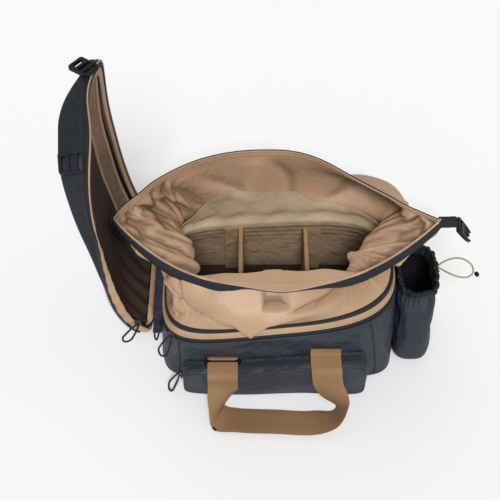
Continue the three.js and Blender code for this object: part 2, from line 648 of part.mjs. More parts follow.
// The front of the wall at a place on the bag, between the base edge and the rim.
function frontWall(x, z) {
  const [low, high] = z < LEVELS[LEVEL.belly].z ? [LEVEL.base_edge, LEVEL.belly] : [LEVEL.belly, LEVEL.rim];
  const share = THREE.MathUtils.clamp((z - LEVELS[low].z) / (LEVELS[high].z - LEVELS[low].z), 0, 1);
  const blend = (key) => lerp(LEVELS[low][key], LEVELS[high][key], share);
  const [reach, power] = x > 0 ? [blend('right'), blend('endR')] : [blend('left'), blend('endL')];
  const flat = (1 - Math.abs(x / reach) ** power) ** (1 / power);
  return -blend('front') * flat + blend('skew') * (x / reach) * flat;
}

// The pocket's top follows the rim and rises to the right.
const pocketLift = (x) => POCKET.rise * (x - POCKET.middleX) / (2 * POCKET.halfLength);

function pocketRing(row, inward) {
  const inset = row.inset + inward;
  const { middleX, halfLength, bottom, top, square } = POCKET;
  const middleZ = (top + bottom) / 2;
  const halfHeight = (top - bottom) / 2;
  return outline(evenly({
    left: halfLength, right: halfLength, front: halfHeight, back: halfHeight,
  }, square), POCKET.around, inset).map((p) => {
    const x = middleX + p.x;
    const z = middleZ + p.y + pocketLift(x) * (p.y / halfHeight + 1) / 2;
    const seat = Math.min(frontWall(x, z), frontWall(x, LEVELS[LEVEL.base_edge].z)) - 1.3;
    const face = frontWall(middleX, bottom) - POCKET.depth - row.bow + (row.depth > 0.9 ? inward : 0);
    return vec(x, lerp(seat, face, row.depth), z);
  });
}

function frontPocket() {
  const outer = POCKET_WALL.map((row) => pocketRing(row, 0));
  const inner = POCKET_WALL.map((row) => pocketRing(row, POCKET.wall));
  add('front_pocket', ringSolid([...inner.reverse(), ...outer], true), MATERIALS.navy);

  const zipFace = (offset) => steps(-126, 116, 8).map((x) => [0.3, 0.55].map((share) => {
    const seat = frontWall(x, POCKET.top) - 0.6;
    const y = lerp(seat, frontWall(POCKET.middleX, POCKET.bottom) - POCKET.depth, share);
    return vec(x, y, POCKET.top + pocketLift(x) + offset);
  }));
  add('pocket_zip', sheetSolid(zipFace(SEAM), zipFace(SEAM + 1.2)), MATERIALS.zip);
}

// Bottle pocket and its cord

function bottleRing(row, inward, lift) {
  const [middleX, middleY] = [(row.left + row.right) / 2, (row.front + row.back) / 2];
  const half = { x: (row.right - row.left) / 2, y: (row.back - row.front) / 2 };
  return outline(evenly({
    left: half.x, right: half.x, front: half.y, back: half.y,
  }, BOTTLE.square), BOTTLE.around, inward).map((p, i) => {
    const wave = Math.cos(2 * Math.PI * BOTTLE.gathers * i / BOTTLE.around);
    const outward = p.clone().normalize().multiplyScalar(row.gather * (wave - 1) / 2);
    return vec(middleX + p.x + outward.x, middleY + p.y + outward.y, row.z + lift);
  });
}

function bottlePocket() {
  const outer = BOTTLE_LEVELS.map((row) => bottleRing(row, 0, 0));
  const inner = BOTTLE_LEVELS.map((row, i) => bottleRing(row, BOTTLE.wall, i === 0 ? BOTTLE.wall : 0));
  add('bottle_pocket', ringSolid([...outer, ...inner.reverse()], true), MATERIALS.navy);
}

function bottleCord() {
  const route = CORD_ROUTE.map(([x, y, z]) => vec(x, y, z));
  add('bottle_cord', cordSolid(route, CORD_DIAMETER, 24, 4), MATERIALS.cord);

  const eyelet = new THREE.LatheGeometry([[1, 0], [4.2, 0], [4.6, 1.6], [3, 3.2], [1, 3.2], [1, 0]].map(
    ([x, y]) => new THREE.Vector2(x, y),
  ), 12);
  place(add('cord_eyelet', eyelet, MATERIALS.metal), vec(227.1, 0.6, 130.7), vec(0, 0.9, 0.4), vec(1, 0, 0));

  const bead = new THREE.LatheGeometry([[0, 0], [2.4, 0], [3.2, 1.4], [3.2, 5.6], [2.4, 7], [0, 7]].map(
    ([x, y]) => new THREE.Vector2(x, y),
  ), 12);
  place(add('cord_bead', bead, MATERIALS.plastic), vec(286.6, -6, 125.4), vec(0, 0, 1), vec(0.3, -1, 0));
}

// Handle and its hardware

function handle() {
  add('handle', ribbon(HANDLE_ROUTE, HANDLE_WIDTH, WEBBING, 46, true), MATERIALS.webbing);
  const frame = roundedRectangle(HANDLE_WIDTH + 9, 8, 1.5);
  frame.holes.push(slot(HANDLE_WIDTH + 1.5, 4, 0, 0));
  const ring = add('handle_ring', plate(frame, 3), MATERIALS.plastic);
  place(ring, vec(-79, -122, 67.8), vec(1, 0, 0), up);
}

// Buckles and their webbing tabs

const BUCKLE = { width: 26, webbing: 20, thickness: 5 };

function forkBuckle() {
  const shape = new THREE.Shape();
  shape.moveTo(-13, -14);
  shape.lineTo(13, -14);
  shape.lineTo(13, -2);
  shape.lineTo(12, 8);
  shape.lineTo(9, 18);
  shape.lineTo(7, 18);
  shape.lineTo(8, 6);
  shape.lineTo(6, 0);
  shape.lineTo(2, 0);
  shape.lineTo(1.5, 15);
  shape.lineTo(-1.5, 15);
  shape.lineTo(-2, 0);
  shape.lineTo(-6, 0);
  shape.lineTo(-8, 6);
  shape.lineTo(-7, 18);
  shape.lineTo(-9, 18);
  shape.lineTo(-12, 8);
  shape.lineTo(-13, -2);
  shape.closePath();
  shape.holes.push(slot(21, 4, 0, -9));
  return plate(shape, BUCKLE.thickness);
}

function ladderBuckle() {
  const shape = roundedRectangle(BUCKLE.width, 30, 4);
  shape.holes.push(slot(20.6, 4.5, 0, -9.5), slot(20, 5, 0, -0.5), slot(16, 5.4, 0, 8.6));
  return plate(shape, BUCKLE.thickness);
}

// Each row: where the tab leaves the cloth, the tab's direction, and how the buckle hangs from it.
const BUCKLES = [
  {
    name: 'right', fork: true, tab: [218.5, 2, 229.5],
    reach: [24, 1, -1], hang: [0.62, -0.12, -0.77], across: [0.1, 1, 0],
  },
  {
    name: 'left', fork: false, tab: [-228.2, 0, 240],
    reach: [-0.6, 0, -5], hang: [0.36, 0, -0.93], across: [0, 1, 0],
  },
];

function collarBuckles() {
  for (const { name, fork, tab, reach, hang, across } of BUCKLES) {
    const [start, out] = [vec(...tab), vec(...reach)];
    const side = vec(...across).normalize();
    const end = start.clone().add(out);
    const drop = vec(...hang).normalize();
    const tip = end.clone().addScaledVector(drop, 4);
    const route = [start, start.clone().lerp(end, 0.55), end, tip].map((p) => ({
      x: p.x, y: p.y, z: p.z, wx: side.x, wy: side.y, wz: side.z,
    }));
    add(`hem_tab_${name}`, ribbon(route, BUCKLE.webbing, CLOTH, 6), MATERIALS.navy);
    const lower = tip.clone().addScaledVector(drop, 14 + SEAM);
    const mesh = add(`buckle_${name}`, fork ? forkBuckle() : ladderBuckle(), MATERIALS.plastic);
    const wide = side.clone().cross(drop).cross(drop).negate();
    place(mesh, lower.addScaledVector(drop, fork ? 0 : 1), wide, drop);
  }
}

// The lid carries a ladder buckle near each corner of its tip, lying flat on the end wall.
const LID_BUCKLES = [
  { name: 'front', y: -90, depth: 20, turn: 8,   tilt: -27 },
  { name: 'back',  y: 60,  depth: 12, turn: -34, tilt: 4 },
];

const LID_TAB_LIFT = 0.8;

function lidBuckles() {
  const tip = LID_LENGTH;
  const out = lidPoint(tip, 0, 10).sub(lidPoint(tip, 0, 0)).normalize();
  const rise = lidPoint(tip + 10, 0, 0).sub(lidPoint(tip, 0, 0)).normalize();
  for (const { name, y, depth, turn, tilt } of LID_BUCKLES) {
    const lean = radians(tilt);
    const normal = rise.clone().multiplyScalar(Math.cos(lean)).add(vec(0, Math.sin(lean), 0));
    const along = out.clone().applyAxisAngle(normal, radians(turn));
    const across = along.clone().cross(normal).normalize();
    const end = tip / 2 * (1 + (1 - Math.abs(y / LID.halfWidth) ** LID.square) ** (1 / LID.square));
    const seat = lidPoint(end, y, depth);
    const route = [-7, 0, 7].map((shift) => {
      const p = seat.clone().addScaledVector(along, shift).addScaledVector(normal, LID_TAB_LIFT);
      return { x: p.x, y: p.y, z: p.z, wx: across.x, wy: across.y, wz: across.z };
    });
    add(`lid_tab_${name}`, ribbon(route, BUCKLE.webbing, CLOTH, 2), MATERIALS.navy);
    const mesh = add(`lid_buckle_${name}`, ladderBuckle(), MATERIALS.plastic);
    const lift = LID_TAB_LIFT + CLOTH / 2 + SEAM + BUCKLE.thickness / 2;
    place(mesh, seat.clone().addScaledVector(normal, lift), across, along);
  }
}

// Zip sliders with cord pulls

const PULL = { diameter: 2.8, reach: 30, spread: 7, slider: 3.5 };

function sliderShape() {
  const shape = new THREE.Shape();
  shape.moveTo(-4, -6);
  shape.lineTo(4, -6);
  shape.lineTo(5, 2);
  shape.lineTo(2.5, 6);
  shape.lineTo(-2.5, 6);
  shape.lineTo(-5, 2);
  shape.closePath();
  return shape;
}

// Each row: the place the slider sits on and the way that faces, the way its zip runs, and where
// its pull hangs.
const RIM_ZIP_MIDDLE = (LEVEL.rim + LEVEL.zip) / 2;
const LID_SLIDER = 48;
const PULLS = [
  {
    name: 'lid',
    at: { point: lidPoint(LID_SLIDER, -lidEdge(LID_SLIDER, 0.4), -3.8), normal: vec(0, -1, 0) },
    run: [-0.25, 0, 1], hang: [-0.55, -0.25, -0.8], side: [0.7, 0.2, -0.5],
  },
  {
    name: 'rim_low', at: wallSeat(0.578, RIM_ZIP_MIDDLE),
    run: [-0.3, 0.95, 0], hang: [-0.3, -0.1, -1], side: [0.3, -0.9, 0.1],
  },
  {
    name: 'rim_high', at: wallSeat(0.602, RIM_ZIP_MIDDLE),
    run: [-0.75, 0.65, 0], hang: [-0.5, -0.4, -1], side: [0.8, -0.5, -0.1],
  },
  {
    name: 'pocket', at: { point: vec(POCKET.middleX - POCKET.halfLength, -124, 38), normal: vec(-1, 0, 0) },
    run: [0, 0, 1], hang: [-0.5, -0.2, -1], side: [0.4, -1, -0.1],
  },
];

function zipPulls() {
  for (const { name, at, run, hang, side } of PULLS) {
    const outward = at.normal;
    const seat = at.point.clone().addScaledVector(outward, PULL.slider / 2 + SEAM);
    const slider = add(`zip_slider_${name}`, plate(sliderShape(), PULL.slider), MATERIALS.metal);
    place(slider, seat, vec(...run).cross(outward), vec(...run));
    const drop = vec(...hang).normalize();
    const spread = vec(...side).projectOnPlane(drop).normalize();
    const top = seat.clone().addScaledVector(outward, PULL.slider / 2 + SEAM + PULL.diameter * 0.6);
    const loop = [
      [0.22, 0], [0.55, 0.25], [0.95, 0.75], [1, 1], [0.55, 1.16], [0, 1.2],
      [-0.55, 1.14], [-1, 0.98], [-0.95, 0.72], [-0.55, 0.24], [-0.26, 0.02],
    ].map(([across, down]) => top.clone()
      .addScaledVector(spread, across * PULL.spread)
      .addScaledVector(drop, down * PULL.reach));
    add(`zip_pull_${name}`, cordSolid(loop, PULL.diameter, 14, 3), MATERIALS.plastic);
  }
}

bodyShell();
paddedLining();
dividers();
rimAndCollar();
lidShell();
lidInside();
lidPockets();
lidHinge();
frontPocket();
bottlePocket();
bottleCord();
handle();
collarBuckles();
lidBuckles();
zipPulls();

export default bag;
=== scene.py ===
"""Looks of an open bicycle trunk bag: cloth, zips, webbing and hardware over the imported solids.

Tables are in millimetres and meshes are written in metres. Soft pieces are grids of points: a lofted
surface moved by folds, creases and crumples that are worked out from tables and seeded random numbers.
Unless a docstring says otherwise, a grid of points or directions is an array (rows, columns, 3), a path or
ring is (steps, 3), and a value for each point of a grid is (rows, columns).
"""
import logging
import math
from dataclasses import dataclass, field, replace
from enum import Enum
from functools import cache
from typing import NamedTuple, Sequence

import bpy
import numpy as np
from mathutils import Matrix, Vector


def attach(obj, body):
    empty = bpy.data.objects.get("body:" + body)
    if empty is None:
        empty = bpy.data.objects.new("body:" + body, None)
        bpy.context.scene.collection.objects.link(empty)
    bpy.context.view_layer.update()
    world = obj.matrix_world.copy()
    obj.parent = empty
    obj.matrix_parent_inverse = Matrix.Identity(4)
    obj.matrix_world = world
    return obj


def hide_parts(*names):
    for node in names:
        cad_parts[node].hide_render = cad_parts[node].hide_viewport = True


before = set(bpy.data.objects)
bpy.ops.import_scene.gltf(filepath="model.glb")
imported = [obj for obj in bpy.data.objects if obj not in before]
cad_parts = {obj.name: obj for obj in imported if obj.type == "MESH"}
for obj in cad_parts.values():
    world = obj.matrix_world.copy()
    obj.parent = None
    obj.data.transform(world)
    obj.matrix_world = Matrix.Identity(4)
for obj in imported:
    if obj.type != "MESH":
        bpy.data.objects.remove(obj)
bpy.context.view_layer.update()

Array = np.ndarray
Colour = tuple[float, float, float]
Place = tuple[float, float, float]
MM = 0.001
NO_RISE = np.array([1.0, 1.0, 0.0])
UP = np.array([0.0, 0.0, 1.0])
LOG = logging.getLogger("trunk_bag")

# Thicknesses in millimetres: thin cloth, the outer cloth, the foam, and the gap at a sewn joint.
CLOTH = 1.6
SHELL = 2.5
PAD = 7.0
SEAM = 0.3


# Numbers and curves

def smoothstep(value: Array, low: float, high: float) -> Array:
    """Rises from 0 at low to 1 at high, flat at both ends."""
    share = np.clip((value - low) / (high - low), 0.0, 1.0)
    return share * share * (3.0 - 2.0 * share)


def unit(vectors: Array) -> Array:
    """Each vector divided by its length."""
    return vectors / np.maximum(np.linalg.norm(vectors, axis=-1, keepdims=True), 1e-9)


def sideways(vectors: Array) -> Array:
    """The level part of each vector, divided by its length."""
    return unit(vectors * NO_RISE)


def repeat(direction: Sequence[float], count: int) -> Array:
    """One direction, once for each of count steps."""
    return np.tile(np.array(direction, dtype=float), (count, 1))


def mix(low: Array, high: Array, share: Array) -> Array:
    """The value a share of the way from low to high."""
    return low + (high - low) * share


def spline(points: Array, at: Array) -> Array:
    """A centripetal Catmull-Rom curve through rows of points.

    Args:
        points: rows of points, (rows, ..., 3).
        at: places along the rows from 0; (places,), or (places, columns) where each column has its own.

    Returns:
        The points there, (places, ..., 3).
    """
    ends = np.concatenate([[2 * points[0] - points[1]], points, [2 * points[-1] - points[-2]]])
    first = np.clip(np.floor(at).astype(int), 0, len(points) - 2)
    if at.ndim == 2:
        column = np.arange(points.shape[1])[None, :]
        a, b, c, d = (ends[first + k, column] for k in range(4))
        share = (at - first)[..., None]
    else:
        a, b, c, d = (ends[first + k] for k in range(4))
        share = (at - first).reshape((-1,) + (1,) * (points.ndim - 1))
    e0, e1, e2 = (np.maximum(np.sum(v * v, -1, keepdims=True), 1e-9) ** 0.25 for v in (b - a, c - b, d - c))
    t1 = ((b - a) / e0 - (c - a) / (e0 + e1) + (c - b) / e1) * e1
    t2 = ((c - b) / e1 - (d - b) / (e1 + e2) + (d - c) / e2) * e1
    return b + t1 * share + (3 * (c - b) - 2 * t1 - t2) * share**2 + (2 * (b - c) + t1 + t2) * share**3


def evenly(points: Sequence | Array, count: int) -> Array:
    """Points at count even places along the curve through rows of points."""
    return spline(np.asarray(points, dtype=float), np.linspace(0.0, len(points) - 1.0, count))


def mesh_of(x: Array | float, y: Array | float, z: Array | float) -> Array:
    """Points from three coordinates that are spread to one shape."""
    return np.stack(np.broadcast_arrays(x, y, z), -1)


def lengths(path: Array) -> Array:
    """The distance from the first point of a path to each of its points."""
    return np.concatenate([[0.0], np.cumsum(np.linalg.norm(np.diff(path, axis=0), axis=-1))])


def walk(path: Array, other: Array, spacing: float) -> tuple[Array, Array]:
    """A path and a second list of vectors beside it, both at even steps along the path.

    Args:
        path: the path.
        other: a vector at each step.
        spacing: about how far apart the new steps are.

    Returns:
        The path at the new steps, and the vectors there, divided by their length.
    """
    run = lengths(path)
    at = np.linspace(0.0, run[-1], max(2, int(run[-1] / spacing) + 1))
    both = np.concatenate([path, other], 1)
    even = np.stack([np.interp(at, run, column) for column in both.T], -1)
    return even[:, :3], unit(even[:, 3:])


def round_run(grid: Array) -> Array:
    """The direction along the rows of a grid that is closed round, from each point's two neighbours."""
    return np.roll(grid, -1, 1) - np.roll(grid, 1, 1)


def outer_normals(grid: Array) -> Array:
    """The way each point of a grid that is closed round faces: its run crossed with its rise."""
    return unit(np.cross(round_run(grid), np.gradient(grid, axis=0)))


def outline(left: float, right: float, front: float, back: float, powers: Array, count: int) -> Array:
    """A closed outline, |x/a|^p + |y/b|^q = 1 in each quarter, at even steps in its back and front halves.

    Args:
        left, right, front, back: its reach to each side.
        powers: p at the left and right ends, then q at back left, back right, front left, front right.
        count: the number of points, anticlockwise from the right end.

    Returns:
        The points, (count, 2).
    """
    end_l, end_r, back_l, back_r, front_l, front_r = powers
    halves = []
    for start, reach, q_l, q_r in ((0.0, back, back_l, back_r), (math.pi, front, front_l, front_r)):
        angle = start + np.linspace(0.0, math.pi, 2001)
        c, s = np.cos(angle), np.sin(angle)
        rightward = c >= 0
        p, q = np.where(rightward, end_r, end_l), np.where(rightward, q_r, q_l)
        x = np.sign(c) * np.abs(c) ** (2 / p) * np.where(rightward, right, left)
        y = np.sign(s) * np.abs(s) ** (2 / q) * reach
        run = lengths(np.stack([x, y], -1))
        at = np.linspace(0.0, run[-1], count // 2 + 1)[:-1]
        halves.append(np.stack([np.interp(at, run, x), np.interp(at, run, y)], -1))
    return np.concatenate(halves)


# How far a dome's place and tilt vary, how flat a dome is in cells, and the usual swing of the sum in cells.
DOME_SHIFT = 0.45
DOME_TILT = 0.8
DOME_FLATNESS = 2.4
DOME_SWING = 2.9


def crumple(u: Array, v: Array, cell: float, seed: int, period: float, tall: float) -> Array:
    """Creased cloth: the highest of many tilted domes, less the highest of a second set of them.

    Args:
        u, v: places on the flat cloth, two arrays of one shape (rows, columns).
        cell: the usual distance between creases.
        seed: of the random numbers.
        period: the distance round after which u comes back to its start.
        tall: the height of the cloth; v runs from 0 to it.

    Returns:
        Heights of about -1 to 1, of the shape of u.
    """
    rng = np.random.default_rng(seed)
    rounds, levels = int(period / cell), int(tall / cell) + 2
    grid = np.stack(np.meshgrid(np.arange(rounds), np.arange(levels), indexing="ij"), -1).reshape(-1, 2)
    height = np.zeros_like(u)
    for sign in (1.0, -1.0):
        shifted = grid + rng.uniform(-DOME_SHIFT, DOME_SHIFT, grid.shape)
        place = (shifted - [0.0, 0.5]) * [period / rounds, cell]
        tilt = rng.normal(0.0, DOME_TILT, grid.shape)
        for row in range(len(u)):
            du = u[row][:, None] - place[:, 0]
            du -= period * np.round(du / period)
            dv = v[row][:, None] - place[:, 1]
            domes = tilt[:, 0] * du + tilt[:, 1] * dv - (du * du + dv * dv) / (DOME_FLATNESS * cell)
            height[row] += sign * domes.max(-1)
    return height / (DOME_SWING * cell)


def buckle(points: Array, start: Array, growth: Array, home: Array, rounds: int, bend: float) -> Array:
    """Cloth with more area than its place gives it: a grid that is closed round and wrinkles to fit.

    Each pair of neighbours, and each pair two steps apart, is pushed or pulled towards its own length on the
    smooth grid times 1 + growth, again and again. Pairs that share no point are moved together.

    Args:
        points: the smooth grid; the number of columns is a multiple of four.
        start: the grid that the wrinkles start from.
        growth: the extra length at each point.
        home: the share of the way back to the smooth grid that each point goes in a round; 1 holds it there.
        rounds: how often every pair is moved.
        bend: how firmly pairs two steps apart hold, which keeps the wrinkles wide.

    Returns:
        The wrinkled grid.
    """
    rows, columns = points.shape[:2]
    number = np.arange(rows * columns).reshape(rows, columns)
    row, column = np.indices((rows, columns))
    flat, extra = points.reshape(-1, 3), growth.ravel()
    free = (home.ravel() < 1.0).astype(float)
    pairs = []
    slant = 0.4
    links = ((0, 1, 1.0), (1, 0, 1.0), (1, 1, slant), (1, -1, slant), (0, 2, bend), (2, 0, bend))
    for down, along, hold in links:
        first, second = number[:rows - down], np.roll(number, -along, 1)[down:]
        turn = (row[:rows - down] // down if down else column // along) % 2
        for half in (0, 1):
            a, b = first[turn == half], second[turn == half]
            rest = np.linalg.norm(flat[b] - flat[a], axis=-1) * (1.0 + (extra[a] + extra[b]) / 2)
            share = hold / np.maximum(free[a] + free[b], 1.0)
            pairs.append((a, b, rest, share * free[a], share * free[b]))
    moved = start.reshape(-1, 3).copy()
    for _ in range(rounds):
        for a, b, rest, move_a, move_b in pairs:
            gap = moved[b] - moved[a]
            pull = 1.0 - rest / np.maximum(np.linalg.norm(gap, axis=-1), 1e-6)
            moved[a] += gap * (pull * move_a)[:, None]
            moved[b] -= gap * (pull * move_b)[:, None]
        moved += (flat - moved) * home.reshape(-1, 1)
    return moved.reshape(points.shape)


def enlarge(grid: Array, rows: int, columns: int) -> Array:
    """A grid that is closed round, at other numbers of rows and columns, on smooth curves through its points.

    Args:
        grid: the grid.
        rows, columns: of the new grid.

    Returns:
        The new grid.
    """
    taller = evenly(grid, rows)
    closed = np.concatenate([taller[:, -1:], taller, taller[:, :2]], 1)
    at = 1.0 + grid.shape[1] * np.arange(columns) / columns
    return spline(closed.swapaxes(0, 1), at).swapaxes(0, 1)


# Each pass of the wrinkling: every how many points, rounds, bend, and the random shift that it starts from.
WRINKLE_PASSES = ((4, 260, 0.02, 0.8), (2, 90, 0.05, 0.2), (1, 24, 0.1, 0.0))
HOME_PULL = 0.025


def wrinkle(smooth: Array, loose: Array, seed: int) -> Array:
    """Buckles a grid that is closed round: wide wrinkles on a coarse grid first, then finer ones.

    Args:
        smooth: the grid; the number of columns is a multiple of sixteen.
        loose: the extra length at each point; points with none stay where they are.
        seed: of the small random shifts that the wrinkles start from.

    Returns:
        The wrinkled grid.
    """
    rng = np.random.default_rng(seed)
    shift = np.zeros((2, 4, 3))
    for every, rounds, bend, jitter in WRINKLE_PASSES:
        rows, columns = (len(smooth) - 1) // every + 1, smooth.shape[1] // every
        base = enlarge(smooth, rows, columns)
        picked = np.round(np.linspace(0.0, len(smooth) - 1.0, rows)).astype(int)
        growth = loose[picked][:, ::every]
        home = np.where(growth < 1e-4, 1.0, HOME_PULL * (1.0 - growth / growth.max()) ** 2)
        start = base + enlarge(shift, rows, columns) + rng.normal(0.0, jitter, base.shape)
        moved = buckle(base, mix(start, base, home[..., None]), growth, home, rounds, bend)
        shift = moved - base
    return moved


# Meshes

@dataclass
class Surface:
    """Points in millimetres, faces as rows of point numbers, and a UV in metres for each point."""

    points: Array
    faces: list[Array]
    uv: Array


def join(parts: Sequence[Surface]) -> Surface:
    """Several surfaces as one."""
    starts = np.cumsum([0] + [len(part.points) for part in parts[:-1]])
    faces = [rows + start for part, start in zip(parts, starts) for rows in part.faces]
    return Surface(np.concatenate([p.points for p in parts]), faces, np.concatenate([p.uv for p in parts]))


def quads(rows: int, columns: int, wrap: bool = False) -> Array:
    """Four point numbers for each face of a grid; wrap joins the last column to the first."""
    grid = np.pad(np.arange(rows * columns).reshape(rows, columns), ((0, 0), (0, int(wrap))), "wrap")
    return np.stack([grid[:-1, :-1], grid[:-1, 1:], grid[1:, 1:], grid[1:, :-1]], -1).reshape(-1, 4)


def grid_uv(points: Array) -> Array:
    """A UV in metres for each point of a grid: the mean distance along its rows and up its columns."""
    steps = (np.linalg.norm(np.diff(points, axis=k), axis=-1).mean(1 - k) for k in (1, 0))
    u, v = (np.concatenate([[0.0], np.cumsum(step)]) for step in steps)
    return np.stack(np.meshgrid(u, v), -1).reshape(-1, 2) * MM


def cloth(face: Array, back: Array, wrap: bool = False) -> Surface:
    """A sheet with two sides: a grid of points on each, joined along the edges.

    Args:
        face, back: the two grids.
        wrap: joins the last column to the first.

    Returns:
        The closed sheet.
    """
    rows, columns = face.shape[:2]
    number = np.arange(rows * columns).reshape(rows, columns)
    other = number + rows * columns
    grid = quads(rows, columns, wrap)
    faces = [grid, grid[:, ::-1] + rows * columns]
    following = np.roll(number, -1, 1) if wrap else number[:, 1:]
    beyond = np.roll(other, -1, 1) if wrap else other[:, 1:]
    last = columns if wrap else columns - 1
    for row, turn in ((0, -1), (rows - 1, 1)):
        edge = np.stack([number[row, :last], following[row], beyond[row], other[row, :last]], -1)
        faces.append(edge[:, ::turn])
    if not wrap:
        for column, turn in ((0, 1), (columns - 1, -1)):
            edge = [number[:-1, column], number[1:, column], other[1:, column], other[:-1, column]]
            faces.append(np.stack(edge, -1)[:, ::turn])
    uv = grid_uv(face)
    points = np.concatenate([face.reshape(-1, 3), back.reshape(-1, 3)])
    return Surface(points, faces, np.concatenate([uv, uv]))


def sweep(path: Array, facing: Array, profile: Array, wrap: bool = False,
          scale: Array | None = None) -> Surface:
    """Carries a closed profile along a path; each ring is path + x * side + y * facing.

    Args:
        path: the path.
        facing: the way the profile's y points at each step.
        profile: anticlockwise points, (sides, 2).
        wrap: joins the last ring to the first; otherwise both ends are closed.
        scale: the profile's size at each step.

    Returns:
        The closed tube.
    """
    run = np.roll(path, -1, 0) - np.roll(path, 1, 0) if wrap else np.gradient(path, axis=0)
    side = unit(np.cross(unit(run), facing))
    upward = np.cross(side, unit(run))
    sized = profile[None] * (np.ones(len(path)) if scale is None else scale)[:, None, None]
    rings = path[:, None] + sized[..., :1] * side[:, None] + sized[..., 1:] * upward[:, None]
    steps, sides = rings.shape[:2]
    ring_rows = np.concatenate([rings, rings[:1]]) if wrap else rings
    faces = [quads(len(ring_rows), sides, True)[:, ::-1] % (steps * sides)]
    points = rings.reshape(-1, 3)
    uv = np.stack(np.broadcast_arrays(lengths(path)[:, None], profile[None, :, 0]), -1)
    uv = uv.reshape(-1, 2) * MM
    if not wrap:
        points = np.concatenate([points, path[[0, -1]]])
        uv = np.concatenate([uv, uv[[0, -1]]])
        around = np.arange(sides)
        following = (around + 1) % sides
        far = (steps - 1) * sides
        faces.append(np.stack([np.full(sides, steps * sides), around, following], -1))
        faces.append(np.stack([np.full(sides, steps * sides + 1), far + following, far + around], -1))
    return Surface(points, faces, uv)


def round_profile(radius: float, sides: int = 10) -> Array:
    """A circle."""
    angle = 2 * math.pi * np.arange(sides) / sides
    return radius * np.stack([np.cos(angle), np.sin(angle)], -1)


def strap_edge(across: Array) -> Array:
    """A strap's thickness as a share, from -1 to 1 across it: the root of 1 - x^10, and a blunt edge."""
    return np.sqrt(np.clip(1.0 - np.abs(across) ** 10, 0.04, 1.0))


def flat_profile(width: float, thickness: float, across: int = 8) -> Array:
    """The section of a flat strap with rounded edges: anticlockwise points, (sides, 2)."""
    x = np.linspace(-1.0, 1.0, across + 1)
    upper = np.stack([-x * width / 2, strap_edge(x) * thickness / 2], -1)
    return np.concatenate([upper, -upper])


def capsule(length: float, radius: float, sides: int = 6) -> Surface:
    """A short bar along X: a circle carried along it, half as wide at its two ends.

    Args:
        length, radius: of the bar.
        sides: of the circle.

    Returns:
        The bar, with its middle at the origin.
    """
    x = np.array([-0.5, -0.32, 0.32, 0.5]) * length
    path = np.stack([x, 0 * x, 0 * x], -1)
    scale = np.array([0.5, 1.0, 1.0, 0.5])
    return sweep(path, repeat(UP, len(x)), round_profile(radius, sides), scale=scale)


def scatter(shape: Surface, centres: Array, x_axes: Array, z_axes: Array) -> Surface:
    """Copies of a small surface, each turned so that its own X and Z run along the given directions.

    Args:
        shape: the small surface.
        centres: the place of each copy.
        x_axes, z_axes: the two directions of each copy.

    Returns:
        All copies as one surface.
    """
    x = unit(x_axes)
    y = unit(np.cross(z_axes, x))
    z = np.cross(x, y)
    axes = np.stack([x, y, z], 1)
    points = centres[:, None] + np.einsum("pk,nkd->npd", shape.points, axes)
    count = len(shape.points)
    starts = (np.arange(len(centres)) * count)[:, None, None]
    faces = [(rows[None] + starts).reshape(-1, rows.shape[1]) for rows in shape.faces]
    return Surface(points.reshape(-1, 3), faces, np.tile(shape.uv, (len(centres), 1)))


# A stitch's pitch, length and radius, and those of a zip's tooth with its shift to either side.
STITCH_PITCH, STITCH_LENGTH, STITCH_RADIUS = 4.2, 3.0, 0.45
TOOTH_PITCH, TOOTH_LENGTH, TOOTH_RADIUS, TOOTH_SHIFT = 2.3, 3.6, 0.75, 0.8


def stitches(path: Array, facing: Array) -> Surface:
    """A row of sewn stitches lying along a path."""
    line, upward = walk(path, facing, STITCH_PITCH)
    return scatter(capsule(STITCH_LENGTH, STITCH_RADIUS), line, np.gradient(line, axis=0), upward)


def teeth(path: Array, facing: Array) -> Surface:
    """A zip's coil: short bars across a path, every other one moved to the far side.

    Args:
        path: the middle of the zip.
        facing: the way the zip faces there.

    Returns:
        All teeth as one surface.
    """
    line, upward = walk(path, facing, TOOTH_PITCH)
    side = unit(np.cross(np.gradient(line, axis=0), upward))
    shift = np.where(np.arange(len(line)) % 2, TOOTH_SHIFT, -TOOTH_SHIFT)[:, None]
    return scatter(capsule(TOOTH_LENGTH, TOOTH_RADIUS), line + side * shift, side, upward)


# Finishes

class Slot(Enum):
    """The record's material slots."""

    NAVY = "navy_cloth"
    TAN = "tan_cloth"
    KHAKI = "khaki_lining"
    LID_LINING = "lid_lining"
    LID_INSIDE = "lid_inside"
    MESH = "mesh"
    ZIP = "zip_tape"
    WEBBING = "webbing"
    PLASTIC = "black_plastic"
    METAL = "dark_metal"
    CORD = "cord"


Node = bpy.types.Node
Socket = bpy.types.NodeSocket
Tree = bpy.types.NodeTree
Value = float | tuple | Socket


@dataclass
class Graph:
    """Adds nodes to a node tree and joins them."""

    tree: Tree

    def node(self, kind: str, inputs: dict[str | int, Value] | None = None,
             **settings: object) -> Node:
        """Adds a node.

        Args:
            kind: the node's type name.
            inputs: socket name or number to a value, or to the output that feeds it.
            settings: the node's own options.

        Returns:
            The new node.
        """
        made = self.tree.nodes.new(kind)
        for key, value in settings.items():
            setattr(made, key, value)
        self.feed(made, inputs or {})
        return made

    def feed(self, node: Node, inputs: dict[str | int, Value]) -> None:
        """Sets the inputs of a node to values, or joins them to the outputs that feed them."""
        for key, value in inputs.items():
            if isinstance(value, Socket):
                self.tree.links.new(value, node.inputs[key])
            else:
                node.inputs[key].default_value = value

    def math(self, operation: str, first: Value, second: Value = 0.0) -> Socket:
        """Adds a Math node and returns its output."""
        return self.node("ShaderNodeMath", {0: first, 1: second}, operation=operation).outputs[0]

    def blend(self, share: Value, low: Value, high: Value) -> Socket:
        """Adds a colour mix and returns its output."""
        return self.node("ShaderNodeMix", {0: share, 6: low, 7: high}, data_type="RGBA").outputs[2]


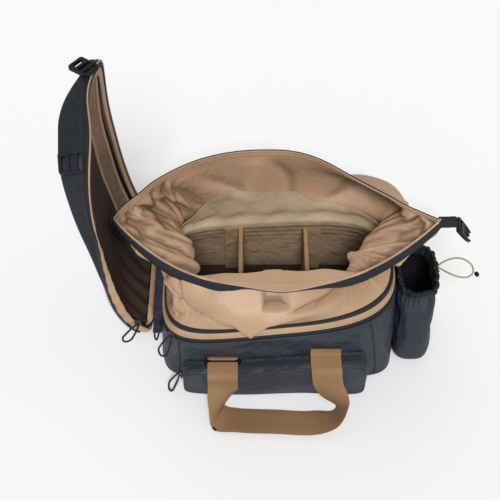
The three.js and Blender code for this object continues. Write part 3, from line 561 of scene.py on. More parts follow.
def new_group(name: str, inputs: Sequence[tuple[str, str]], outputs: Sequence[str]) -> tuple[Graph, dict]:
    """Starts a shader node group.

    Args:
        name: of the group.
        inputs: the name and socket type of each input.
        outputs: the names of its number outputs.

    Returns:
        Its graph, and its inputs by name.
    """
    tree = bpy.data.node_groups.new(name, "ShaderNodeTree")
    for title, kind in inputs:
        tree.interface.new_socket(title, in_out="INPUT", socket_type=kind)
    for title in outputs:
        tree.interface.new_socket(title, in_out="OUTPUT", socket_type="NodeSocketFloat")
    entry = tree.nodes.new("NodeGroupInput")
    return Graph(tree), {title: entry.outputs[title] for title, _ in inputs}


@cache
def cloth_group() -> Tree:
    """Woven cloth: crossing threads, fine wrinkles, sharp creases, and a slow change of tone.

    A crease lies where two cells of a Voronoi pattern meet: the height is the squared distance to the
    nearest cell's middle, less the same for a second pattern, at two sizes.

    Returns:
        The group's tree.
    """
    number, vector = "NodeSocketFloat", "NodeSocketVector"
    graph, given = new_group(
        "cloth_pattern",
        [("UV", vector), ("Place", vector), ("Threads", number), ("Weave", number),
         ("Wrinkle", number), ("Wrinkle Scale", number), ("Crease", number), ("Crease Scale", number)],
        ["Tone", "Threads", "Height"],
    )

    def dome(shift: float, finer: float) -> Socket:
        """The squared distance to the nearest cell's middle.

        Args:
            shift: how far the pattern is moved.
            finer: how many times finer its cells are.

        Returns:
            The output that carries it.
        """
        moved = graph.node("ShaderNodeVectorMath", {0: warped.outputs[0], 1: (shift, 0.7 * shift, 0.0)})
        scale = graph.math("MULTIPLY", given["Crease Scale"], finer)
        cell = graph.node("ShaderNodeTexVoronoi", {"Vector": moved.outputs[0], "Scale": scale})
        return graph.math("POWER", cell.outputs["Distance"], 2.0)

    turns = graph.math("MULTIPLY", given["Threads"], math.pi)
    phase = graph.node("ShaderNodeVectorMath", {0: given["UV"], "Scale": turns}, operation="SCALE")
    wave = graph.node("ShaderNodeVectorMath", {0: phase.outputs[0]}, operation="SINE")
    parts = graph.node("ShaderNodeSeparateXYZ", {0: wave.outputs[0]})
    thread = graph.math("MULTIPLY", parts.outputs["X"], parts.outputs["Y"])
    fine = graph.node("ShaderNodeTexNoise", {
        "Vector": given["Place"], "Scale": given["Wrinkle Scale"], "Detail": 3.0, "Roughness": 0.5,
        "Distortion": 0.5,
    })
    wrinkle = graph.math("ABSOLUTE", graph.math("SUBTRACT", fine.outputs[0], 0.5))
    weave = graph.math("MULTIPLY", thread, given["Weave"])
    woven = graph.math("ADD", weave, graph.math("MULTIPLY", wrinkle, given["Wrinkle"]))
    drift = graph.node("ShaderNodeTexNoise", {"Vector": given["Place"], "Scale": 45.0, "Detail": 1.0})
    offset = graph.node("ShaderNodeVectorMath", {0: drift.outputs["Color"], "Scale": 0.02}, operation="SCALE")
    warped = graph.node("ShaderNodeVectorMath", {0: given["Place"], 1: offset.outputs[0]})
    broad = graph.math("SUBTRACT", dome(0.0, 1.0), dome(0.31, 1.0))
    small = graph.math("SUBTRACT", dome(0.57, 2.3), dome(0.83, 2.3))
    creased = graph.math("ADD", broad, graph.math("MULTIPLY", small, 0.4))
    height = graph.math("ADD", woven, graph.math("MULTIPLY", creased, given["Crease"]))
    slow = graph.node("ShaderNodeTexNoise", {"Vector": given["Place"], "Scale": 11.0, "Detail": 3.0})
    tone = graph.node("ShaderNodeMapRange", {0: slow.outputs[0], 1: 0.34, 2: 0.66})
    graph.node("NodeGroupOutput", {"Tone": tone.outputs[0], "Threads": thread, "Height": height})
    return graph.tree


@cache
def moulding_group() -> Tree:
    """Moulded plastic or coated metal: noise as a fine grain, and slower noise as slightly uneven gloss.

    Returns:
        The group's tree.
    """
    sockets = [("Place", "NodeSocketVector"), ("Scale", "NodeSocketFloat")]
    graph, given = new_group("moulding", sockets, ["Tone", "Height"])
    slow, grain = (
        graph.node("ShaderNodeTexNoise", {"Vector": given["Place"], "Scale": scale, "Detail": 2.0}).outputs[0]
        for scale in (60.0, given["Scale"])
    )
    graph.node("NodeGroupOutput", {"Tone": slow, "Height": grain})
    return graph.tree


@dataclass(frozen=True)
class Finish:
    """What a piece is made of: a name, the record's slot and a linear colour."""

    name: str
    slot: Slot
    colour: Colour

    @cache
    def material(self) -> bpy.types.Material:
        """The material, made once.

        Returns:
            The shared material.
        """
        made = bpy.data.materials.new(self.name)
        made.use_nodes = True
        graph = Graph(made.node_tree)
        self.dress(graph, graph.node("ShaderNodeTexCoord"), made.node_tree.nodes["Principled BSDF"])
        return made

    def dress(self, graph: Graph, coords: Node, shader: Node) -> None:
        """Feeds the shader; each kind of finish does it in its own way."""
        raise NotImplementedError


@dataclass(frozen=True)
class ClothFinish(Finish):
    """A woven material: tones from colour to shade, threads per metre, bumps in millimetres."""

    shade: Colour
    roughness: float = 0.7
    threads: float = 900.0
    weave: float = 0.06
    wrinkle: float = 0.8
    wrinkle_scale: float = 70.0
    thread_shade: float = 0.25
    gloss: float = 0.25
    crease: float = 0.0
    crease_scale: float = 50.0
    marked: bool = False
    # Painted shade: how far the cloth goes to its darkest colour where the mesh lies in a hollow.
    hollow_shade: float = 0.0
    darkest: float = 0.45

    def dress(self, graph: Graph, coords: Node, shader: Node) -> None:
        """Feeds the shader with the weave's tones and heights, and with the marks of the mesh.

        Args:
            graph, coords, shader: the material's nodes, its texture coordinates and its Principled BSDF.
        """
        crease = self.crease
        if self.marked:
            mark = graph.node("ShaderNodeAttribute", attribute_name="creased")
            crease = graph.math("MULTIPLY", mark.outputs["Fac"], self.crease)
        pattern = graph.node("ShaderNodeGroup", {
            "UV": coords.outputs["UV"], "Place": coords.outputs["Object"], "Threads": self.threads,
            "Weave": self.weave, "Wrinkle": self.wrinkle, "Wrinkle Scale": self.wrinkle_scale,
            "Crease": crease, "Crease Scale": self.crease_scale,
        }, node_tree=cloth_group())
        tone = graph.blend(pattern.outputs["Tone"], (*self.shade, 1), (*self.colour, 1))
        dark = (*(self.darkest * value for value in self.shade), 1)
        thread = graph.math("MULTIPLY", pattern.outputs["Threads"], self.thread_shade)
        base = graph.blend(graph.math("MAXIMUM", thread, 0.0), tone, dark)
        # Painted shade in creases and recesses, read from the mesh's hollow attribute.
        if self.hollow_shade:
            sunk = graph.node("ShaderNodeAttribute", attribute_name="hollow")
            base = graph.blend(graph.math("MULTIPLY", sunk.outputs["Fac"], self.hollow_shade), base, dark)
        bump = graph.node("ShaderNodeBump", {"Height": pattern.outputs["Height"], "Distance": MM})
        graph.feed(shader, {
            "Base Color": base, "Normal": bump.outputs[0], "Roughness": self.roughness,
            "Specular IOR Level": self.gloss,
        })


@dataclass(frozen=True)
class HardFinish(Finish):
    """Moulded plastic or metal, with a fine grain and a roughness that varies a little."""

    roughness: float = 0.45
    metallic: float = 0.0
    grain: float = 900.0
    grain_height: float = 0.06
    gloss: float = 0.3
    smoother: float = 0.08
    rougher: float = 0.1

    def dress(self, graph: Graph, coords: Node, shader: Node) -> None:
        """Feeds the shader with the grain's heights and the uneven gloss.

        Args:
            graph, coords, shader: the material's nodes, its texture coordinates and its Principled BSDF.
        """
        inputs = {"Place": coords.outputs["Object"], "Scale": self.grain}
        pattern = graph.node("ShaderNodeGroup", inputs, node_tree=moulding_group())
        low, high = self.roughness - self.smoother, self.roughness + self.rougher
        tone, height = pattern.outputs["Tone"], pattern.outputs["Height"]
        spread = graph.node("ShaderNodeMapRange", {0: tone, 1: 0.3, 2: 0.7, 3: low, 4: high})
        bump = graph.node("ShaderNodeBump", {"Height": height, "Distance": self.grain_height * MM})
        graph.feed(shader, {
            "Base Color": (*self.colour, 1), "Normal": bump.outputs[0], "Roughness": spread.outputs[0],
            "Metallic": self.metallic, "Specular IOR Level": self.gloss,
        })


NAVY = ClothFinish("navy", Slot.NAVY, (0.031, 0.035, 0.047), (0.022, 0.025, 0.034), 0.55, gloss=0.35,
                   threads=1100, crease=2.2, crease_scale=38.0)
# A darker copy of the navy for the lid's outer cloth: painted shade on the side turned from the light.
LID_NAVY_SHADED = replace(NAVY, name="lid_navy_painted_shade", colour=(0.021, 0.024, 0.033), shade=(0.014, 0.016, 0.023),
                   gloss=0.15)
BOTTLE_NAVY = replace(NAVY, name="bottle_navy", colour=(0.027, 0.031, 0.042), shade=(0.019, 0.022, 0.03),
                      gloss=0.25)
NAVY_TRIM = ClothFinish("navy_trim", Slot.NAVY, (0.03, 0.033, 0.044), (0.021, 0.023, 0.032), 0.5, wrinkle=0.3)
HEM = ClothFinish("hem_webbing", Slot.NAVY, (0.026, 0.029, 0.037), (0.02, 0.022, 0.028), 0.8, gloss=0.1,
                  threads=800, weave=0.08, wrinkle=0.2)
# Near black: the real colour of the bottle pocket's hem, and painted shade on the sheet inside its mouth.
DARK_HEM_AND_SHADE = ClothFinish("dark_hem_and_mouth_shade", Slot.NAVY, (0.013, 0.014, 0.018), (0.008, 0.009, 0.012), 0.6,
                       threads=800, weave=0.1, wrinkle=0.4)
# The tan collar's cloth is darkened in its hollows: painted shade.
TAN = ClothFinish("tan", Slot.TAN, (0.45, 0.29, 0.181), (0.375, 0.236, 0.143), 0.46, threads=1300,
                  weave=0.02, wrinkle=0.3, wrinkle_scale=55.0, thread_shade=0.1, gloss=0.36,
                  crease=3.0, crease_scale=32.0, marked=True, hollow_shade=0.7)
TAN_TRIM = ClothFinish("tan_trim", Slot.TAN, (0.46, 0.31, 0.197), (0.38, 0.25, 0.152), 0.55,
                       threads=800, wrinkle=0.3)
TAN_HEM = ClothFinish("tan_hem", Slot.TAN, (0.36, 0.232, 0.138), (0.29, 0.18, 0.10), 0.6,
                      threads=600, weave=0.14, wrinkle=0.2)
THREAD = ClothFinish("thread", Slot.TAN, (0.56, 0.42, 0.30), (0.46, 0.34, 0.24), 0.6,
                     threads=2500, weave=0.02, wrinkle=0.0)
DARK_THREAD = replace(THREAD, name="dark_thread", slot=Slot.NAVY, colour=(0.05, 0.055, 0.07),
                      shade=(0.04, 0.045, 0.055))
KHAKI = ClothFinish("khaki", Slot.KHAKI, (0.45, 0.345, 0.225), (0.37, 0.28, 0.176), 0.5, threads=1000,
                    wrinkle=0.5, gloss=0.5, crease=1.3, crease_scale=30.0)
PADDED = ClothFinish("padded", Slot.KHAKI, (0.27, 0.19, 0.118), (0.205, 0.142, 0.085), 0.8, threads=1000,
                     wrinkle=0.4, crease=1.6, crease_scale=45.0)
# A near-black copy of the padded lining for the floor deep in the box: painted shade.
PAD_FLOOR_SHADE = ClothFinish("pad_floor_painted_shade", Slot.KHAKI, (0.034, 0.021, 0.013), (0.022, 0.014, 0.009), 0.9,
                        threads=1000, wrinkle=0.4)
OLIVE = ClothFinish("olive", Slot.LID_LINING, (0.235, 0.146, 0.08), (0.165, 0.1, 0.052), 0.65, wrinkle=0.6,
                    crease=3.0, crease_scale=45.0)
WALL_LINING = ClothFinish("wall_lining", Slot.LID_INSIDE, (0.19, 0.118, 0.088), (0.13, 0.08, 0.06))
# A near-black lining for the deep back of the lid: painted shade.
LID_LINING_SHADE = ClothFinish("lid_lining_painted_shade", Slot.LID_INSIDE, (0.035, 0.026, 0.021), (0.02, 0.015, 0.012), 0.85)
NET = ClothFinish("net", Slot.MESH, (0.073, 0.051, 0.041), (0.048, 0.034, 0.027), 0.9, threads=420,
                  weave=0.15, wrinkle=0.5, thread_shade=0.9, gloss=0.05)
ZIP = ClothFinish("zip", Slot.ZIP, (0.018, 0.019, 0.022), (0.011, 0.012, 0.014), 0.5, weave=0.1, wrinkle=0.2)
COVERED_ZIP = ClothFinish("covered_zip", Slot.ZIP, (0.025, 0.028, 0.037), (0.018, 0.02, 0.027), 0.5,
                          weave=0.1)
COIL = HardFinish("coil", Slot.ZIP, (0.03, 0.031, 0.036))
WEBBING = ClothFinish("webbing", Slot.WEBBING, (0.27, 0.156, 0.078), (0.225, 0.128, 0.062), 0.75,
                      threads=800, weave=0.12, wrinkle=0.3)
PLASTIC = HardFinish("plastic", Slot.PLASTIC, (0.006, 0.006, 0.008), 0.42, gloss=0.18)
METAL = HardFinish("metal", Slot.METAL, (0.06, 0.06, 0.066), 0.35, 0.7)
PULL_CORD = ClothFinish("pull_cord", Slot.PLASTIC, (0.014, 0.014, 0.017), (0.008, 0.008, 0.01), 0.6,
                        threads=700, weave=0.25, wrinkle=0.0)
CORD = ClothFinish("cord", Slot.CORD, (0.36, 0.315, 0.25), (0.29, 0.25, 0.19), 0.65, weave=0.2, wrinkle=0.0)


def show(name: str, surface: Surface, finish: Finish, nodes: Sequence[str] = (), sharp: float = 55.0,
         marks: Array | None = None, hollows: Array | None = None) -> bpy.types.Object:
    """Makes a piece of the object from a closed surface.

    Args:
        name: of the piece.
        surface: its points and faces; the faces are turned outwards by the sign of the enclosed volume.
        finish: its material.
        nodes: the CAD nodes that it stands for.
        sharp: the angle in degrees above which an edge is not smoothed.
        marks: how creased the cloth is at each point, for a finish that is marked.
        hollows: how deep each point lies between its neighbours, for a finish with painted shade in its
            hollows.

    Returns:
        The new object.
    """
    points = surface.points * MM
    volume = sum(
        np.einsum("ij,ij->i", points[f[:, 0]], np.cross(points[f[:, k]], points[f[:, k + 1]])).sum()
        for f in surface.faces for k in range(1, f.shape[1] - 1)
    )
    faces = [f[:, ::-1] for f in surface.faces] if volume < 0 else surface.faces
    corners = np.concatenate([f.ravel() for f in faces]).astype(np.int32)
    sizes = np.concatenate([np.full(len(f), f.shape[1]) for f in faces])
    starts = np.concatenate([[0], np.cumsum(sizes)[:-1]]).astype(np.int32)
    mesh = bpy.data.meshes.new(name)
    mesh.vertices.add(len(points))
    mesh.vertices.foreach_set("co", points.astype(np.float32).ravel())
    mesh.loops.add(len(corners))
    mesh.loops.foreach_set("vertex_index", corners)
    mesh.polygons.add(len(starts))
    mesh.polygons.foreach_set("loop_start", starts)
    mesh.update(calc_edges=True)
    mesh.polygons.foreach_set("use_smooth", np.ones(len(starts), dtype=bool))
    mesh.uv_layers.new(name="UVMap").data.foreach_set("uv", surface.uv[corners].astype(np.float32).ravel())
    mesh.set_sharp_from_angle(angle=math.radians(sharp))
    for title, values in (("creased", marks), ("hollow", hollows)):
        if values is not None:
            mesh.attributes.new(title, "FLOAT", "POINT").data.foreach_set("value", values.astype(np.float32))
    mesh.materials.append(finish.material())
    piece = bpy.data.objects.new(name, mesh)
    bpy.context.scene.collection.objects.link(piece)
    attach(piece, "root")
    if nodes:
        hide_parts(*nodes)
    LOG.info("%s: %d faces", name, len(starts))
    return piece


def ribbon(route: Array, sides: Array, width: float, thickness: float, steps: int) -> Surface:
    """A strap along a route: each section runs from -1/2 to 1/2 of its width along the given direction.

    Args:
        route: rows of places on its middle line.
        sides: the direction of its width at each place; it need not be square to the route.
        width, thickness: of the strap, which thins at its edges.
        steps: sections along it.

    Returns:
        The closed strap.
    """
    path, wide = evenly(route, steps), unit(evenly(sides, steps))
    facing = unit(np.cross(np.gradient(path, axis=0), wide))
    across = np.linspace(-0.5, 0.5, 11)
    lift = thickness / 2 * strap_edge(2 * across)
    middle = path[:, None] + wide[:, None] * (width * across)[None, :, None]
    rise = facing[:, None] * lift[None, :, None]
    return cloth(middle + rise, middle - rise)


# Studio

@dataclass
class Studio:
    """A pale floor, soft light from above, and the camera of the photograph."""

    camera_place: Place = (-40.2, -868.7, 1282.0)
    elevation: float = 52.0
    lens: float = 71.74
    sensor: float = 36.0
    floor_tone: float = 0.80
    floor_reach: float = 8.0
    floor_height: float = -0.0004
    sky: float = 0.35
    sun: float = 3.05
    sun_spread: float = 18.0
    sun_place: Place = (0.05, -1.25, 1.58)
    fill: float = 0.45
    fill_spread: float = 60.0
    fill_place: Place = (-0.6, 1.4, 1.1)

    def build(self) -> None:
        """Makes the floor, the lights and the camera."""
        scene = bpy.context.scene
        scene.view_settings.view_transform = "Standard"
        self.floor()
        self.lights()
        lens = bpy.data.cameras.new("camera")
        lens.lens = self.lens
        lens.sensor_width = self.sensor
        camera = bpy.data.objects.new("camera", lens)
        camera.location = [value * MM for value in self.camera_place]
        camera.rotation_euler = (math.radians(90.0 - self.elevation), 0.0, 0.0)
        scene.collection.objects.link(camera)
        scene.camera = camera

    def floor(self) -> None:
        """A wide plane just under the base."""
        mesh = bpy.data.meshes.new("floor")
        signs = ((-1, -1), (1, -1), (1, 1), (-1, 1))
        corners = [(x * self.floor_reach, y * self.floor_reach, self.floor_height) for x, y in signs]
        mesh.from_pydata(corners, [], [(0, 1, 2, 3)])
        finish = bpy.data.materials.new("floor")
        finish.use_nodes = True
        looks = {"Base Color": (*[self.floor_tone] * 3, 1), "Roughness": 0.9, "Specular IOR Level": 0.1}
        Graph(finish.node_tree).feed(finish.node_tree.nodes["Principled BSDF"], looks)
        mesh.materials.append(finish)
        plane = bpy.data.objects.new("floor", mesh)
        bpy.context.scene.collection.objects.link(plane)

    def lights(self) -> None:
        """An even pale sky, a soft lamp above and in front, and a weak wide one behind."""
        scene = bpy.context.scene
        world = bpy.data.worlds.new("studio")
        world.use_nodes = True
        looks = {"Color": (1.0, 1.0, 1.0, 1), "Strength": self.sky}
        Graph(world.node_tree).feed(world.node_tree.nodes["Background"], looks)
        scene.world = world
        for name, energy, spread, place in (
            ("key", self.sun, self.sun_spread, self.sun_place),
            ("fill", self.fill, self.fill_spread, self.fill_place),
        ):
            lamp = bpy.data.lights.new(name, "SUN")
            lamp.energy = energy
            lamp.angle = math.radians(spread)
            light = bpy.data.objects.new(name, lamp)
            light.location = place
            light.rotation_euler = Vector(place).to_track_quat("Z", "Y").to_euler()
            scene.collection.objects.link(light)


# Cord of the bottle pocket

@dataclass
class BottleCord:
    """An elastic loop that leaves the eyelet and comes back to it, with a bead on it."""

    diameter: float = 2.6
    steps: int = 160
    route: tuple[Place, ...] = (
        (230.9, 0.9, 132), (233.2, 1.8, 132.8), (237, 4, 134.4), (243, 6.6, 136.6), (251, 8.4, 138.8),
        (259, 9.2, 139.4), (267, 8.8, 138.2), (274.5, 6.8, 135.4), (280.5, 2.8, 131.4), (283.2, -2.4, 127.2),
        (281.6, -7.6, 123.6), (276, -11.2, 121.4), (268, -12, 121), (259, -10.8, 122.2), (250, -8.4, 124.6),
        (242, -5.6, 127.4), (237, -2.8, 128.6), (233.2, -0.6, 129), (230.9, 0.3, 129.4),
    )

    def build(self) -> None:
        path = evenly(self.route, self.steps)
        tube = sweep(path, repeat((0.0, 0.3, 1.0), self.steps), round_profile(self.diameter / 2, 12))
        piece = show("elastic_cord", tube, CORD, ["bottle_cord"])
        for name, finish in (("cord_eyelet", METAL), ("cord_bead", PLASTIC)):
            dress_node(name, finish, 0.5)


def dress_node(name: str, finish: Finish, bevel: float) -> None:
    """Gives a CAD node that stays in view rounded edges and a material.

    Args:
        name: of the node.
        finish: its material.
        bevel: the width of its rounded edges.
    """
    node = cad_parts[name]
    node.data.materials.clear()
    node.data.materials.append(finish.material())
    weld = node.modifiers.new("weld", "WELD")
    weld.merge_threshold = 0.02 * MM
    rounding = node.modifiers.new("bevel", "BEVEL")
    rounding.width = bevel * MM
    rounding.segments = 3
    rounding.limit_method = "ANGLE"
    rounding.angle_limit = math.radians(35.0)
    rounding.harden_normals = False
    LOG.info("%s: dressed", name)


# The wall of the bag

class Level(NamedTuple):
    """One closed outline of the wall.

    Its height and reach to each side, the powers of its outline at the ends, the back and the front, how much
    higher its right end is, how far its front is skewed, how far its front drops and its back humps.
    """

    z: float
    left: float
    right: float
    front: float
    back: float
    end_left: float
    end_right: float
    back_left: float
    back_right: float
    front_left: float
    front_right: float
    rise: float
    skew: float
    drop: float
    hump: float


LEVELS = {
    "base": Level(0, 161, 161, 101, 99, 8, 8, 8, 8, 8, 8, 0, 0, 0, 0),
    "base_edge": Level(9, 168, 168, 109, 106, 8, 8, 8, 8, 8, 8, 0, 0, 0, 0),
    "belly": Level(60, 169, 169, 112, 108, 6, 5.2, 6, 5.2, 6, 5.2, 4, 4, 0, 0),
    "rim": Level(118, 166, 167, 114, 105, 5, 3.4, 5, 3.6, 5, 3.2, 26, 9, 0, 0),
    "zip": Level(126, 164, 165, 112, 104, 5, 3.3, 5, 3.5, 5, 3.1, 26, 9, 0, 0),
    "facing": Level(135, 161, 163, 109, 103, 4.8, 3.2, 4.8, 3.4, 4.8, 3.0, 27, 9, 0, 0),
    "foot": Level(143, 160, 162, 108, 103, 4.4, 3.1, 4.4, 3.3, 4.4, 2.9, 27, 9, 0, 0),
    "bulge": Level(168, 168, 174, 112, 110, 3.6, 3.0, 3.2, 3.4, 3.2, 2.6, 22, 8, 6, 0),
    "slope": Level(196, 190, 190, 103, 114, 3.0, 2.8, 2.4, 3.2, 2.4, 2.0, 12, 4, 16, 3),
    "hem": Level(220, 212, 209, 94, 116, 2.6, 2.2, 1.5, 1.05, 1.5, 1.3, 2, 0, 18, 7),
    "mouth": Level(240, 226, 221, 93, 117, 2.5, 2.1, 1.2, 0.70, 1.2, 1.1, -4, -2, 40, 12),
}
HEIGHT = {name: float(number) for number, name in enumerate(LEVELS)}
COLLAR_ROUND = 1040.0
COLLAR_TALL = 118.0


def collar_share(heights: Array) -> Array:
    """How far up the collar each height is: 0 at its foot and 1 at its mouth."""
    return (heights - HEIGHT["foot"]) / (HEIGHT["mouth"] - HEIGHT["foot"])


class FoldKind(Enum):
    """The section of a fold: a soft wave, a pinched crease, a lap, a tuck behind a sharp lip, a boxy dent."""

    ROUND = "round"
    CREASE = "crease"
    LAP = "lap"
    TUCK = "tuck"
    DENT = "dent"


@dataclass(frozen=True)
class Fold:
    """A fold of the collar: its place round and up the cloth, its slant from upright, its size and depth."""

    around: float
    up: float
    slant: float
    reach: float
    width: float
    depth: float
    kind: FoldKind = FoldKind.ROUND

    def at(self, around: Array, share: Array) -> Array:
        """How far the fold moves the cloth outwards.

        With a the distance along the fold over its reach and c that across it over its width, a round fold
        is e^(-c^2 - a^2), a crease e^(-1.6 |c| - a^2), a lap 2.33 c e^(-c^2 - a^2), and a tuck e^c up to its
        lip at c = 0, times e^(-a^4), all times the depth. A dent is a tuck with a steep and a gentle end.

        Args:
            around: places round the collar, 0 to 1.
            share: places up the collar, 0 to 1.

        Returns:
            Distances outwards in millimetres.
        """
        turn = around - self.around
        side = (turn - np.round(turn)) * COLLAR_ROUND
        rise = (share - self.up) * COLLAR_TALL
        sin, cos = math.sin(math.radians(self.slant)), math.cos(math.radians(self.slant))
        along = (side * sin + rise * cos) / self.reach
        across = (side * cos - rise * sin) / self.width
        if self.kind in (FoldKind.TUCK, FoldKind.DENT):
            sunk = self.depth * np.exp(np.minimum(across, 0.0)) * (1.0 - smoothstep(across, 0.0, 0.25))
            if self.kind is FoldKind.TUCK:
                return sunk * np.exp(-(along**4))
            return sunk * smoothstep(along, -1.05, -0.75) * (1.0 - smoothstep(along, 0.1, 1.3))
        if self.kind is FoldKind.CREASE:
            return self.depth * np.exp(-1.6 * np.abs(across) - along**2)
        if self.kind is FoldKind.LAP:
            return self.depth * 2.33 * across * np.exp(-(across**2) - along**2)
        return self.depth * np.exp(-(across**2) - along**2)


# The large folds, from the foot of the collar to its mouth.
BROAD_FOLDS = [
    Fold(0.748, 0.75, 90, 85, 24, -34), Fold(0.755, 1.00, 90, 44, 16, 9), Fold(0.715, 0.12, 72, 60, 15, 8),
    Fold(0.655, 0.36, 66, 50, 15, -8), Fold(0.640, 0.62, 70, 46, 15, 6), Fold(0.850, 0.48, -76, 60, 14, -8),
    Fold(0.860, 0.20, -80, 70, 15, 6), Fold(0.515, 0.28, 84, 84, 30, -46), Fold(0.918, 0.30, 98, 92, 32, -56),
    Fold(0.0, 0.24, 90, 64, 28, -30), Fold(0.125, 1.00, 90, 75, 60, -11), Fold(0.465, 0.60, -24, 45, 18, -8),
    Fold(0.035, 0.60, 24, 42, 18, -8), Fold(0.360, 0.45, 40, 46, 18, -7), Fold(0.150, 0.35, -34, 46, 18, 6),
    Fold(0.105, 0.42, 90, 46, 30, 18), Fold(0.890, 0.25, 90, 40, 26, -14),
]
# The smaller folds, which fade out below the hem.
FINE_FOLDS = [
    Fold(0.646, 0.27, 291, 60, 14, -15, FoldKind.TUCK), Fold(0.585, 0.30, 90, 34, 28, 13),
    Fold(0.662, 0.45, 90, 48, 22, 9), Fold(0.747, 0.42, 90, 20, 17, -15, FoldKind.DENT),
    Fold(0.815, 0.33, 92, 44, 12, -14, FoldKind.TUCK), Fold(0.668, 0.76, 90, 32, 22, -13),
    Fold(0.826, 0.76, 90, 32, 22, -11), Fold(0.592, 0.62, 52, 22, 9, -5, FoldKind.TUCK),
    Fold(0.603, 0.46, 118, 24, 9, -5, FoldKind.TUCK), Fold(0.572, 0.45, 8, 40, 9, -5, FoldKind.TUCK),
    Fold(0.616, 0.55, -14, 30, 9, -4, FoldKind.TUCK), Fold(0.503, 0.50, 158, 46, 9, 7, FoldKind.LAP),
    Fold(0.440, 0.55, 24, 40, 9, 6, FoldKind.LAP), Fold(0.408, 0.42, 40, 30, 7, 6, FoldKind.LAP),
    Fold(0.395, 0.36, 18, 30, 6, -6, FoldKind.CREASE), Fold(0.470, 0.62, 10, 40, 8, -6, FoldKind.CREASE),
    Fold(0.530, 0.55, -12, 36, 8, 6, FoldKind.LAP), Fold(0.050, 0.50, -8, 44, 8, 6, FoldKind.LAP),
    Fold(0.020, 0.62, 6, 42, 8, -6, FoldKind.CREASE), Fold(0.985, 0.55, 10, 42, 8, 6, FoldKind.LAP),
    Fold(0.955, 0.50, 22, 40, 8, -6, FoldKind.CREASE), Fold(0.925, 0.50, 16, 36, 8, 6, FoldKind.LAP),
    Fold(0.280, 0.55, -18, 46, 16, -4), Fold(0.235, 0.50, 12, 44, 14, 4), Fold(0.320, 0.30, 60, 34, 10, -4),
]


def scattered_folds(seed: int) -> list[Fold]:
    """Random pleats at the two ends of the collar, mostly upright.

    Args:
        seed: of the random numbers.

    Returns:
        The pleats.
    """
    rng = np.random.default_rng(seed)
    pleats = []
    for low, high, count in ((0.40, 0.555, 12), (0.87, 1.04, 13)):
        for _ in range(count):
            kind = FoldKind.LAP if rng.random() < 0.6 else FoldKind.CREASE
            pleats.append(Fold(
                around=rng.uniform(low, high), up=rng.uniform(0.2, 0.85), slant=rng.normal(0.0, 32.0),
                reach=rng.uniform(22.0, 55.0), width=rng.uniform(4.5, 8.0),
                depth=rng.uniform(3.0, 6.0) * rng.choice([-1.0, 1.0]), kind=kind,
            ))
    return pleats


SMALL_FOLDS = FINE_FOLDS + scattered_folds(4)


